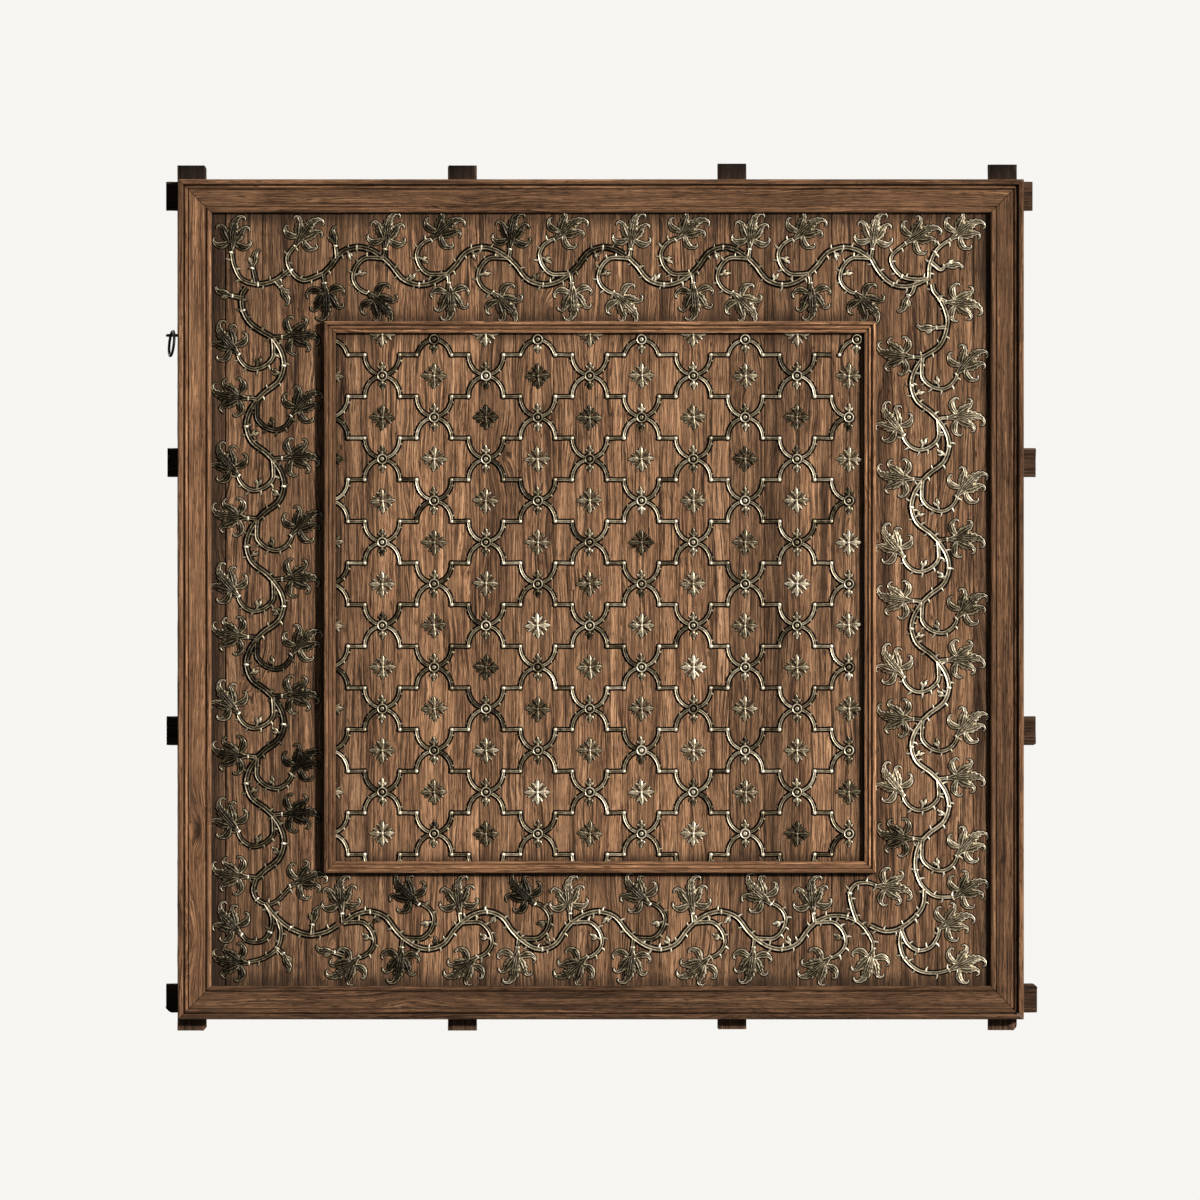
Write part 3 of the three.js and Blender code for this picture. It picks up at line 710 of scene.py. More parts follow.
def railPiece(prefix, side, turns, look, box):
    outline = look["outline"]
    length = box["width"] if turns % 2 == 0 else box["height"]
    outBy = (box["height"] if turns % 2 == 0 else box["width"]) / 2
    count = int(length / look["step"])
    seed = turns + (5 if prefix == "rail" else 15)
    closed = [outline[-1], *outline, outline[0]]
    points, grain, wearAndShade, tones = [], [], [], []
    stations = [-1, -1 + 3 / length, *np.linspace(-1, 1, count - 1)[1:-1].tolist(), 1 - 3 / length, 1]
    for s, t in enumerate(stations):
        for k, (across, height) in enumerate(outline):
            along = t * (length / 2 + across - place["gap"] / 2)
            crest = height - (closed[k][1] + closed[k + 2][1]) / 2
            moved = 0
            if height > 6:
                moved = look["wobble"] * (0.5 + 0.5 * wander(along / 55, across / 7, height, seed))
                chip = wander(along / 24, across / 9, 2, seed + 2) - railWear["chipFrom"]
                moved += railWear["chip"] * max(0, chip)
            x, y = along, outBy + across
            for _ in range(turns):
                x, y = y, -x
            points.append((x + box.get("x", 0), y + box.get("z", 0), face + height - moved))
            rubbed = max(-0.9, min(0.9, crest * 0.55)) * (height > 6) - 0.5 * (0 <= height <= 6)
            wearAndShade.append(rubbed - railWear["mitreDark"] * (s in (0, count)))
            # painted light: each side's tone, and the outer edge's, stand in for how the light falls on it
            tones.append(look["tones"][side] * (look["paintedEdgeLight"][side] if across > look["edgeFrom"] else 1))
            grain.append((along / 1000 + 1.9 * seed, across / 1000 + 0.53 * seed, height / 1000))
    faces = tubeFaces(count + 1, len(outline))
    mesh = meshFrom(prefix, points, faces, {"wearAndShade": wearAndShade, "tone": tones}, grain)
    outward(mesh)
    finishPiece(f"{prefix}{side.capitalize()}", mesh, frameWood, [f"{prefix}_{side}"], 30)


for turns, side in enumerate(("top", "right", "bottom", "left")):
    railPiece("rail", side, turns, outerRail, opening)
    railPiece("moulding", side, turns, innerRail, innerFrame)
print("rails ready")


# Each brass casting is drawn once here.

def blade(points, widths, crown, rim=1.6, ribs=1, ribHeight=0.7, across=10, teeth=0.0, spacing=2.2,
          skirt=2.5):
    # a petal or leaf: its middle line, half widths along it and the height of its back
    line = smoothLine([(*p, w) for p, w in zip(points, widths)], spacing)
    made, relief = [], []
    count = len(line)
    for s, (x, y, w) in enumerate(line):
        w = max(w, 0.35)
        before, after = line[max(s - 1, 0)], line[min(s + 1, count - 1)]
        way = (after - before)[:2]
        way = way / (np.hypot(*way) or 1)
        side = np.array([-way[1], way[0]])
        share = s / (count - 1)
        w *= 1 + teeth * 0.5 * (s % 3 - 1) * (0.2 < share < 0.85)
        full = min(1, w / max(widths)) ** 0.5 * (0.55 + 0.45 * math.sin(math.pi * min(1, share * 1.3 + 0.12)))
        for k in range(across + 1):
            t = 2 * k / across - 1
            dome = (1 - t * t) ** 0.5
            vein = math.cos(math.pi * t * (2 * ribs - 1)) if ribs else 1
            height = rim + (crown - rim) * full * dome + ribHeight * vein * full * (1 - abs(t) ** 3)
            # painted highlight: a bright band along every edge, besides the rubbing
            edge = abs(t) > 1 - 1.5 / max(w, 2.5)
            made.append((*(np.array([x, y]) + side * t * w), max(height + 0.7 * edge, 0.8)))
            relief.append(0.98 if edge else 0.30 + 0.46 * vein * (1 - 0.3 * abs(t)))
        # painted shadow: a dark skirt round the foot, with patina
        for t, out, up in ((1, 0.5, 0.5), (1, skirt, 0), (-1, skirt, 0), (-1, 0.5, 0.5)):
            made.append((*(np.array([x, y]) + side * t * (w + out)), max(0.6, height * up)))
            relief.append(-0.6)
            if up == 0:
                made[-1] = (*made[-1][:2], 0.55)
    return made, relief, tubeFaces(count, across + 5, swapped=True)


def lathe(profile, x=0, y=0, sides=20):
    # profile: (radius, height, relief), from the rim to the middle
    made, relief, faces = [], [], []
    for radius, height, rubbed in profile[:-1]:
        for i in range(sides):
            angle = 2 * math.pi * i / sides
            made.append((x + radius * math.cos(angle), y + radius * math.sin(angle), height))
            relief.append(rubbed)
    made.append((x, y, profile[-1][1]))
    relief.append(profile[-1][2])
    for r in range(len(profile) - 2):
        for i in range(sides):
            j = (i + 1) % sides
            faces.append((r * sides + i, r * sides + j, (r + 1) * sides + j, (r + 1) * sides + i))
    base = (len(profile) - 2) * sides
    for i in range(sides):
        faces.append((base + i, base + (i + 1) % sides, len(made) - 1))
    faces.append(tuple(range(sides)))
    return made, relief, faces


def pair(points, *sizes, **details):
    # the same petal on both sides
    return [blade(points, *sizes, **details), blade([(-x, y) for x, y in points], *sizes, **details)]


def shapeMesh(name, parts):
    points, relief, faces = [], [], []
    for made, high, around in parts:
        base = len(points)
        points += made
        relief += high
        faces += [tuple(base + i for i in f) for f in around]
    mesh = meshFrom(name, points, faces, {"relief": relief})
    outward(mesh)
    return mesh


def castShape(name, parts):
    return hidden(name, shapeMesh(name, parts))


flowerLook = {
    "calyx": [(0, -5), (0, 2), (0, 9), (0, 16), (0, 24)], "calyxWide": [3.4, 4.6, 7.0, 9.6, 5],
    "sepal": [(7, 17), (14, 12.5), (22, 9), (30, 8.5), (37, 11.5), (42, 17), (42, 23), (38, 25)],
    "sepalWide": [3.5, 5.6, 7.4, 6.4, 4.0, 2.3, 1.5, 0.8],
    "side": [(6, 19), (12, 29), (17, 38), (21, 46), (26, 52.5), (32, 54), (37, 50), (37, 44.5)],
    "sideWide": [5, 9.0, 9.0, 6.4, 3.7, 2.3, 1.6, 0.8],
    "middle": [(0, 15), (0, 27), (0.5, 40), (1, 52), (2.5, 61), (6.5, 70), (13, 76), (20, 77), (25.5, 73),
               (25, 68)],
    "middleWide": [7, 11.5, 12.5, 11, 8.0, 5.4, 3.5, 2.4, 1.6, 0.8],
}
flowerShape = castShape("flowerShape", [
    *pair(flowerLook["sepal"], flowerLook["sepalWide"], 5.6, ribs=2, ribHeight=0.8, across=8, spacing=3.2),
    *pair(flowerLook["side"], flowerLook["sideWide"], 6.6, ribs=2, ribHeight=0.9, across=8, spacing=3.2,
          teeth=0.34),
    blade(flowerLook["middle"], flowerLook["middleWide"], 8.6, ribs=3, ribHeight=0.9, across=14, spacing=3.1,
          teeth=0.4),
    blade(flowerLook["calyx"], flowerLook["calyxWide"], 8.4, ribs=2, across=8, spacing=3.4),
])
budShape = castShape("budShape", [
    blade([(0, -3), (0, 4), (0, 10)], [2.5, 5.2, 4], 5.5, ribs=2, ribHeight=0.5, across=8, spacing=3),
    blade([(-2, 6), (-8, 12), (-10, 19)], [3, 3.6, 0.8], 4.6, ribHeight=0.4, across=6, spacing=3),
    blade([(1, 5), (2, 14), (1, 23), (3, 31), (9, 37), (13, 35)], [4, 7.6, 6.8, 4.4, 2.4, 0.8], 6.2, ribs=2,
          spacing=3, teeth=0.3),
])
leafletShape = castShape("leafletShape", [
    blade([(0, -2), (0.5, 5), (-1, 10)], [1.8, 2.2, 2], 4.2, ribHeight=0.4, across=6, spacing=3),
    blade([(0, 7), (-4, 11), (-6, 17)], [1.6, 3.2, 0.7], 4.2, ribHeight=0.5, across=6, spacing=3),
    blade([(0, 7), (3.5, 12), (3, 20), (6, 24)], [1.8, 3.6, 2.6, 0.7], 4.6, ribHeight=0.5, across=6,
          spacing=3),
])
thornShape = castShape("thornShape", [
    blade([(0, -2.5), (0.3, 3), (1.8, 7), (4.6, 9.6)], [2.8, 1.9, 1.3, 0.6], 3.2, rim=0.9, ribs=0,
          ribHeight=0, across=3, spacing=3.4, skirt=1.6),
])
collarShape = castShape("collarShape", [
    blade([(-5.6, 0), (-3, 0), (0, 0), (3, 0), (5.6, 0)], [1.7, 2.3, 2.5, 2.3, 1.7], 7.8, rim=2.4, ribs=0,
          ribHeight=0, across=6, spacing=2.6),
])


def sectionShape(name, points):
    # points: (across, height, relief), for a line one unit thick to each side
    mesh = bpy.data.meshes.new(name)
    around = [(i, (i + 1) % len(points)) for i in range(len(points))]
    mesh.from_pydata([(x, -y, 0) for x, y, _ in points], around, [])
    addLayers(mesh, {"relief": [r for _, _, r in points]})
    return hidden(name, mesh)


# the outer points (relief -0.6) are a dark skirt, painted shadow with patina; the crests carry a painted
# highlight
stemSection = sectionShape("stemSection", [
    (-2.1, 0, -0.6), (-2.08, 0.13, -0.6), (-1.12, 0.3, -0.5), (-0.98, 0.98, 0.55), (-0.74, 1.24, 0.92),
    (-0.4, 1.1, 0.5), (-0.1, 0.92, 0.26), (0.1, 0.92, 0.26), (0.4, 1.1, 0.5), (0.74, 1.24, 0.92),
    (0.98, 0.98, 0.55), (1.12, 0.3, -0.5), (2.08, 0.13, -0.6), (2.1, 0, -0.6),
])
linkSection = sectionShape("linkSection", [
    (-2.35, 0, -0.6), (-2.33, 0.18, -0.6), (-1.14, 0.4, -0.5), (-0.98, 1.2, 0.6), (-0.64, 1.46, 0.9),
    (-0.2, 1.2, 0.28), (0.2, 1.2, 0.28), (0.64, 1.46, 0.9), (0.98, 1.2, 0.6), (1.14, 0.4, -0.5),
    (2.33, 0.18, -0.6), (2.35, 0, -0.6),
])
print("brass shapes ready")


# The vine of the border, one length for each side.

vine = {
    "stem": 4.3, "curl": [4.1, 3.9, 3.8, 3.7, 3.6, 3.5, 3.4, 3.3], "stalk": [3.7, 3.4, 3.1], "spacing": 3.6,
    "crest": 42, "joint": 17, "crestAt": 0.55, "leafAt": 0.40, "thorns": 21, "stalkReach": 26,
    # how bright the castings are, how much brighter to the right as painted light, how uneven, and the share
    # of dull ones
    "tone": 0.98, "lightToRight": 0.18, "uneven": (-0.09, 0.11), "dull": 0.18, "dullShare": 0.2,
    "sides": {
        "top": {"u": (1, 0), "v": (0, 1), "middle": 750, "first": -1, "plain": [0],
                "joints": [-625, -488, -345, -207, -68, 64, 205, 332, 469, 608]},
        "right": {"u": (0, 1), "v": (1, 0), "middle": 741, "first": -1, "plain": [],
                  "joints": [-541, -405, -272, -139, -6, 132, 268, 406, 543]},
        "bottom": {"u": (-1, 0), "v": (0, -1), "middle": 745, "first": -1, "plain": [],
                   "joints": [-481, -346, -209, -74, 67, 185, 315, 446, 580]},
        "left": {"u": (0, 1), "v": (-1, 0), "middle": 756, "first": 1, "plain": [0],
                 "joints": [-627, -486, -356, -220, -87, 43, 180, 315, 450, 588]},
    },
    "curlLine": [(0, 0), (-23, 2), (-45, 0), (-63, -18), (-70, -42), (-63, -61), (-48, -74), (-33, -79)],
    # lengths drawn at the corners: the line, then a flower or bud and its direction
    "corners": {
        "top": [
            ([(-625, 733), (-670, 718), (-698, 740), (-706, 770), (-686, 799)], "flower", 56),
            ([(-702, 741), (-733, 718), (-772, 709), (-808, 720), (-826, 752), (-832, 786)], "flower", 85),
            ([(-776, 712), (-784, 750)], "bud", 80),
            ([(-733, 718), (-718, 700)], "bud", -58),
            ([(-594, 768), (-598, 800)], "bud", 105),
            ([(608, 767), (628, 734), (657, 709), (695, 705), (738, 722)], None, 0),
            ([(738, 722), (707, 720), (677, 727), (657, 750), (655, 774), (690, 804)], "flower", 33),
            ([(738, 722), (740, 752), (752, 781), (767, 797), (790, 812)], "flower", 38),
            ([(744, 758), (764, 742), (776, 751)], "bud", 8),
            ([(706, 706), (700, 690), (690, 680)], "bud", -108),
        ],
        "right": [
            ([(745, 709), (749, 693), (763, 675), (776, 646), (779, 616), (763, 572), (721, 543)], None, 0),
            ([(758, 678), (781, 669)], "flower", -3),
            ([(779, 612), (750, 611)], "bud", 185),
            ([(718, -546), (709, -576), (709, -610), (722, -643), (752, -668), (797, -670)], "flower", 36),
            ([(728, -648), (726, -684), (711, -710), (673, -740), (639, -747), (606, -735)], None, 0),
            ([(678, -738), (673, -774), (684, -808), (714, -835), (752, -841), (788, -833)], "flower", 26),
            ([(676, -745), (690, -774), (714, -790), (741, -783), (756, -763), (763, -740)], "flower", 29),
        ],
        "bottom": [
            ([(481, -726), (515, -713), (554, -715), (587, -733), (610, -767), (612, -790)], "flower", -105),
            ([(576, -724), (565, -692), (560, -661), (574, -641), (601, -638), (623, -645)], "flower", -5),
            ([(-578, -802), (-604, -794)], "bud", 175),
        ],
        "left": [
            ([(-776, -627), (-783, -654), (-774, -675), (-754, -686), (-729, -679), (-695, -643)],
             "flower", 25),
            ([(-756, -684), (-731, -715), (-700, -740), (-659, -755), (-621, -749), (-593, -733)], None, 0),
            ([(-754, -686), (-740, -717), (-745, -749), (-763, -769), (-794, -769), (-812, -751)],
             "flower", 135),
            ([(-729, -717), (-720, -749), (-729, -785), (-758, -807), (-797, -818)], "flower", 176),
            ([(-650, -755), (-648, -727)], "bud", 80),
            ([(-728, -786), (-713, -801)], "bud", -62),
            ([(-798, 702), (-808, 684), (-806, 650), (-785, 617), (-738, 588)], None, 0),
            ([(-808, 678), (-834, 684)], "bud", 165),
        ],
    },
}


class Growth:
    # one side's vine: the lines of its stems and the spots of what grows on them
    def __init__(self, seed):
        self.lines, self.seeded = [], random.Random(seed)
        self.spots = {"flower": [], "bud": [], "leaflet": [], "thorn": [], "collar": []}

    def tone(self, x):
        # painted light makes the castings to the right brighter, and a few anywhere are dull
        dull = vine["dull"] if self.seeded.random() < vine["dullShare"] else 0
        return vine["tone"] + vine["lightToRight"] * x / 900 + self.seeded.uniform(*vine["uneven"]) - dull

    def put(self, kind, x, y, turn, size=1.0, tone=None):
        self.spots[kind].append((x, y, brassFoot, turn, size, self.tone(x) if tone is None else tone))

    def stem(self, points, thick, thorns=True, oneSide=0):
        line = smoothLine([(*p, t) for p, t in zip(points, thick)], vine["spacing"])
        tone = self.tone(points[0][0])
        z = brassFoot + 0.0012 * len(self.lines)
        self.lines.append(([(x, y, z, t) for x, y, t in line], tone))
        if not thorns:
            return
        gone, side, due = 0, 1, vine["thorns"] * 0.6
        for a, b in zip(line, line[1:]):
            gone += float(np.hypot(*(b - a)[:2]))
            if gone < due:
                continue
            due = gone + vine["thorns"] * self.seeded.uniform(0.8, 1.2)
            side = oneSide or -side
            way = math.degrees(math.atan2(b[1] - a[1], b[0] - a[0]))
            turn = way + 90 * side - 90
            out = math.radians(way + 90 * side)
            reach = a[2] * 0.75
            self.put("thorn", a[0] + reach * math.cos(out), a[1] + reach * math.sin(out), turn + 8,
                     self.seeded.uniform(0.85, 1.15), tone)

    def head(self, kind, x, y, angle):
        self.put(kind, x, y, angle - 90, 1.0)
        back = math.radians(angle)
        self.put("collar", x - 5 * math.cos(back), y - 5 * math.sin(back), angle - 90, 0.86, 1.12)


def growSide(name, seed):
    side, growth = vine["sides"][name], Growth(seed)
    u, v = side["u"], side["v"]

    def at(along, across):
        out = side["middle"] + across
        return (u[0] * along + v[0] * out, u[1] * along + v[1] * out)

    def way(degrees, sign):
        a, b = math.cos(math.radians(degrees)), sign * math.sin(math.radians(degrees))
        return math.degrees(math.atan2(u[1] * a + v[1] * b, u[0] * a + v[0] * b))

    hand = u[0] * v[1] - u[1] * v[0]
    for index, joint in enumerate(side["joints"]):
        sign = side["first"] * (1 if index % 2 == 0 else -1)
        j = vine["joint"] * sign
        if index < len(side["joints"]) - 1:
            step = side["joints"][index + 1] - joint
            c = -sign * vine["crest"]
            shape = [(0, j), (0.12, 0), (0.3, 0.72 * c), (vine["crestAt"], c), (0.78, 0.85 * c), (1.0, -j)]
            growth.stem([at(joint + step * s, a) for s, a in shape], [vine["stem"]] * 6)
            growth.put("collar", *at(joint + step * vine["crestAt"], c), way(0, 1) - 90, 1.0, 1.15)
            growth.put("leaflet", *at(joint + step * vine["leafAt"], 0.80 * c), way(-62, -sign) - 90, 0.9)
        reach = sign * vine["stalkReach"]
        stalk = [at(joint, j), at(joint + 2, j + reach / 2), at(joint + 3, j + reach)]
        growth.stem(stalk, vine["stalk"], False)
        growth.head("flower", *stalk[-1], way(84, sign))
        if index not in side["plain"]:
            points = [at(joint + a, j + sign * b) for a, b in vine["curlLine"]]
            growth.stem(points, vine["curl"], True, -hand * sign)
            growth.head("flower", *points[-1], way(-42, sign))
            growth.put("leaflet", *at(joint - 63, j - sign * 36), way(20, sign) - 90, 0.95)
    for line, kind, angle in vine["corners"][name]:
        thick = np.linspace(vine["stem"], 3.2 if kind else vine["stem"], len(line))
        growth.stem(line, thick, len(line) > 3)
        if kind:
            growth.head(kind, *line[-1], angle)
        if len(line) > 4:
            turn = math.degrees(math.atan2(line[3][1] - line[1][1], line[3][0] - line[1][0])) - 90
            growth.put("collar", *line[2], turn, 1.0, 1.15)
    meshes = [sweep(stemSection, growth.lines, oldBrass)]
    shapes = {"flower": flowerShape, "bud": budShape, "leaflet": leafletShape, "thorn": thornShape,
              "collar": collarShape}
    for kind, spots in growth.spots.items():
        if spots:
            meshes.append(scatter(shapes[kind], spots, oldBrass))
    mesh = joinMeshes(f"vine{name}", meshes)
    finishPiece(f"vine{name.capitalize()}", mesh, oldBrass, [f"vine_{name}"], 50)


for seed, name in enumerate(("top", "right", "bottom", "left")):
    growSide(name, seed + 1)
print("vine ready")


# The trellis and rosettes of the middle field.

lattice = {
    "left": -609, "top": 597, "stepX": 116.7, "stepZ": 93.7, "rows": 14, "columns": 11, "thick": 3.1,
    "bar": 2.8, "arcX": 39.5, "arcZ": 45.6, "arcStep": 7, "drift": 0.9,
    # how far the uppermost bosses hang down, and how far the last of them stands to the right
    "topDrop": 12, "topShift": 18,
    # painted light: the castings are made brighter to the right
    "tone": 0.98, "lightToRight": 0.05, "uneven": (-0.08, 0.10), "dull": 0.22, "dullShare": 0.2, "shine": 0.2,
    "shineShare": 0.1, "rosetteTone": -0.12,
}
field = {
    "left": innerFrame["x"] - innerFrame["width"] / 2, "right": innerFrame["x"] + innerFrame["width"] / 2,
    "low": innerFrame["z"] - innerFrame["height"] / 2, "high": innerFrame["z"] + innerFrame["height"] / 2,
}
# the outer rings (relief -0.6) are a dark skirt, painted shadow with patina; the crests carry a painted
# highlight
bossShape = castShape("bossShape", [lathe([
    (15.4, 0, -0.6), (15.3, 0.55, -0.6), (12.2, 1.6, -0.4), (11.6, 4.4, 0.7), (10.2, 5.4, 0.95),
    (8.8, 4.8, 0.6), (7.8, 3.4, -0.2), (6.2, 3.1, 0.05), (4.8, 3.4, 0.1), (4.2, 4.8, 0.6), (3.0, 5.6, 0.95),
    (1.7, 5.3, 0.5), (0, 4.7, 0.0),
])])
ballShape = castShape("ballShape", [lathe([
    (7.6, 0, -0.6), (7.5, 0.55, -0.6), (4.9, 1.6, -0.4), (4.4, 4.2, 0.6), (3.0, 5.6, 0.85), (1.5, 6.0, 0.95),
    (0, 6.1, 0.95),
], sides=10)])
trefoilShape = castShape("trefoilShape", [
    blade([(0, 10), (0, 16), (0, 21), (0, 26), (0, 31.5)], [1.8, 2.6, 4.4, 3.0, 0.5], 4.6, ribHeight=0.6,
          across=4, spacing=3.2),
    *pair([(0, 17), (4, 17.5), (7, 19), (8.6, 22)], [2.2, 3.2, 2.4, 0.5], 3.9, ribHeight=0.4, across=4,
          spacing=3.2),
])
burrShape = castShape("burrShape", [
    blade([(0, -1), (0, 2.0), (0.9, 5.4)], [2.4, 1.6, 0.6], 2.6, rim=0.8, ribs=0, ribHeight=0, across=2,
          spacing=3, skirt=0.4),
])


def turnedParts(quarter, parts):
    c, s = math.cos(quarter * math.pi / 2), math.sin(quarter * math.pi / 2)
    return [([(x * c - y * s, x * s + y * c, z) for x, y, z in made], *others) for made, *others in parts]


def rosetteParts():
    parts = []
    for quarter in range(4):
        parts += turnedParts(quarter, [
            blade([(0, 2), (0, 7), (0, 13), (0, 19), (0, 24), (0, 29)], [2.0, 2.8, 3.6, 4.4, 3.6, 0.9], 4.6,
                  ribHeight=0.8, across=6, spacing=4.2, skirt=2.2),
            *pair([(1.5, 9), (4.5, 13), (8, 16.5), (11.5, 20.5)], [2.0, 3.2, 3.2, 0.9], 4.0,
                  ribHeight=0.6, across=4, spacing=4.0, skirt=2.2),
        ])
    parts.append(lathe([(3.6, 0, 0), (3.5, 4.2, 0.4), (2.6, 5.4, 0.9), (1.2, 6.0, 1.0), (0, 6.1, 1.0)],
                       sides=12))
    return parts


def cutMesh(mesh, x, y, side):
    # keeps what lies on one side of a straight cut and closes it
    work = bmesh.new()
    work.from_mesh(mesh)
    cut = bmesh.ops.bisect_plane(work, geom=[*work.verts, *work.edges, *work.faces], plane_co=(x, y, 0),
                                 plane_no=side, clear_outer=True)
    edges = [e for e in cut["geom_cut"] if isinstance(e, bmesh.types.BMEdge)]
    bmesh.ops.holes_fill(work, edges=edges)
    made = mesh.copy()
    work.to_mesh(made)
    work.free()
    return made


chance = random.Random(21)


def brassTone(x):
    # painted light makes the castings a little brighter to the right; a few are dull, and fewer are rubbed
    # bright
    dull = lattice["dull"] if chance.random() < lattice["dullShare"] else 0
    shine = lattice["shine"] if chance.random() < lattice["shineShare"] else 0
    return lattice["tone"] + lattice["lightToRight"] * x / 600 + chance.uniform(*lattice["uneven"]) - dull + shine


def crossing(column, row):
    x = lattice["left"] + column * lattice["stepX"]
    y = lattice["top"] - row * lattice["stepZ"]
    if row == 0:
        y -= lattice["topDrop"] if (column + row) % 2 == 0 else 0
        x += lattice["topShift"] if column == lattice["columns"] - 1 else 0
    return x, y


lines, bosses, balls, trefoils, burrs, rosettes = [], [], [], [], [], []
arc = []
for degrees in (-72, -60, -45, -30, -15, 0):
    a = math.radians(degrees)
    arc.append((lattice["arcX"] * math.cos(a), lattice["stepZ"] / 2 + lattice["arcZ"] * math.sin(a)))
for row in range(lattice["rows"]):
    for column in range(lattice["columns"]):
        x, y = crossing(column, row)
        if (row + column) % 2:
            rosettes.append((x + chance.uniform(-1, 1), y + chance.uniform(-1, 1), chance.uniform(-4, 4)))
            continue
        shift = chance.uniform(-1, 1) * lattice["drift"], chance.uniform(-1, 1) * lattice["drift"]
        shown = field["low"] + 6 < y
        if column and shown:
            bosses.append((x, y, brassFoot, chance.uniform(0, 90), 1.0, brassTone(x)))
            for turn in (0, 180):
                if field["low"] < y + 31 * (1 if turn == 0 else -1) < field["high"] + 3:
                    trefoils.append((x, y, brassFoot, turn + chance.uniform(-3, 3), 1.0, brassTone(x) - 0.1))
        for right in (1, -1):
            if (right > 0 and column == lattice["columns"] - 1) or (right < 0 and column == 0):
                continue
            for up in (1, -1):
                if (up > 0 and row == 0) or (up < 0 and y - 46 < field["low"] and row < lattice["rows"] - 1):
                    continue
                if row == lattice["rows"] - 1 and up < 0:
                    continue
                middle = [(x + right * a, y + up * b) for a, b in arc]
                if row == 0:
                    middle[-1] = (middle[-1][0], lattice["top"] - lattice["stepZ"] / 2)
                end = (middle[-1][0], middle[-1][1])
                tone = brassTone(x)
                arcLine = smoothLine(middle, lattice["arcStep"])
                lines.append(([(*p, brassFoot, lattice["thick"]) for p in arcLine], tone))
                if field["left"] + 5 < end[0] < field["right"] - 5 and field["low"] + 5 < end[1]:
                    balls.append((*end, brassFoot, 0, 1.0, tone + 0.1))
                for share in (2, 4):
                    a = middle[share]
                    out = math.atan2(-up * (lattice["stepZ"] / 2 - abs(a[1] - y)), right * abs(a[0] - x))
                    burrs.append((a[0] + 2.2 * math.cos(out), a[1] + 2.2 * math.sin(out), brassFoot,
                                  math.degrees(out) - 90, chance.uniform(0.9, 1.2), 0.7))
# Level bars, from ball to ball.
for row in range(lattice["rows"] - 1):
    y = lattice["top"] - (row + 0.5) * lattice["stepZ"]
    for column in range(lattice["columns"] - 1):
        x = lattice["left"] + column * lattice["stepX"]
        a, b = x + lattice["arcX"], x + lattice["stepX"] - lattice["arcX"]
        tilt = chance.uniform(-0.7, 0.7)
        if y < field["low"] + 5:
            continue
        lines.append(([(a, y + tilt, brassFoot, lattice["bar"]),
                       ((a + b) / 2, y, brassFoot, lattice["bar"] * 0.94),
                       (b, y - tilt, brassFoot, lattice["bar"])], brassTone(x)))


def insideField(mesh):
    for x, y, side in ((field["left"] + 0.3, 0, (-1, 0, 0)), (field["right"] - 0.3, 0, (1, 0, 0)),
                       (0, field["low"] + 0.3, (0, -1, 0)), (0, field["high"] - 0.3, (0, 1, 0))):
        mesh = cutMesh(mesh, x, y, side)
    return mesh


parts = [sweep(linkSection, lines, oldBrass)]
for shape, where in ((bossShape, bosses), (ballShape, balls), (trefoilShape, trefoils), (burrShape, burrs)):
    parts.append(scatter(shape, where, oldBrass))
trellisMesh = insideField(joinMeshes("trellis", parts))
finishPiece("trellisWork", trellisMesh, oldBrass, ["trellis"], 50)

rosetteShape = castShape("rosetteShape", rosetteParts())
spots = [(x, y, brassFoot, turn, 1.0, brassTone(x) + lattice["rosetteTone"]) for x, y, turn in rosettes
         if y > field["low"] + 8]
rosetteWork = insideField(scatter(rosetteShape, spots, oldBrass))
finishPiece("rosettes", rosetteWork, oldBrass, [], 50)
print("trellis ready")


# The iron ring and its staple.

iron = {
    "radius": 27.75, "wire": 3.2, "turn": 12, "lean": 6, "play": 1.2,
    "stapleWire": 3.35, "legs": 8, "reach": 28, "z": 594, "y": -62,
}
frameEdge = -(opening["width"] / 2 + opening["rail"])


def wireMesh(name, centres, radius, closed, sides=20, seed=0):
    points, faces = [], []
    count = len(centres)
    for i, centre in enumerate(centres):
        before = centres[(i - 1) % count] if closed or i else centres[i]
        after = centres[(i + 1) % count] if closed or i < count - 1 else centres[i]
        way = (Vector(after) - Vector(before)).normalized()
        side = way.orthogonal().normalized() if i == 0 else (side - way * side.dot(way)).normalized()
        other = way.cross(side)
        for k in range(sides):
            angle = 2 * math.pi * k / sides
            thick = radius * (1 - 0.035 * (0.5 + 0.5 * wander(i / 3.1, k / 2.0, 0, seed)))
            points.append(Vector(centre) + side * math.cos(angle) * thick + other * math.sin(angle) * thick)
    rings = count if closed else count - 1
    shift = 0
    if closed:
        # the first ring of points is met where it is nearest to the last
        lastRing = points[(count - 1) * sides:]
        shift = min(range(sides), key=lambda s: (points[s] - lastRing[0]).length)
    for i in range(rings):
        for k in range(sides):
            a, b = i * sides + k, i * sides + (k + 1) % sides
            turn = shift if closed and i == count - 1 else 0
            nextRing = ((i + 1) % count) * sides
            faces.append((a, b, nextRing + (k + 1 + turn) % sides, nextRing + (k + turn) % sides))
    if not closed:
        faces.append(tuple(range(sides)))
        faces.append(tuple(range((count - 1) * sides, count * sides)))
    mesh = meshFrom(name, points, faces)
    outward(mesh)
    return mesh


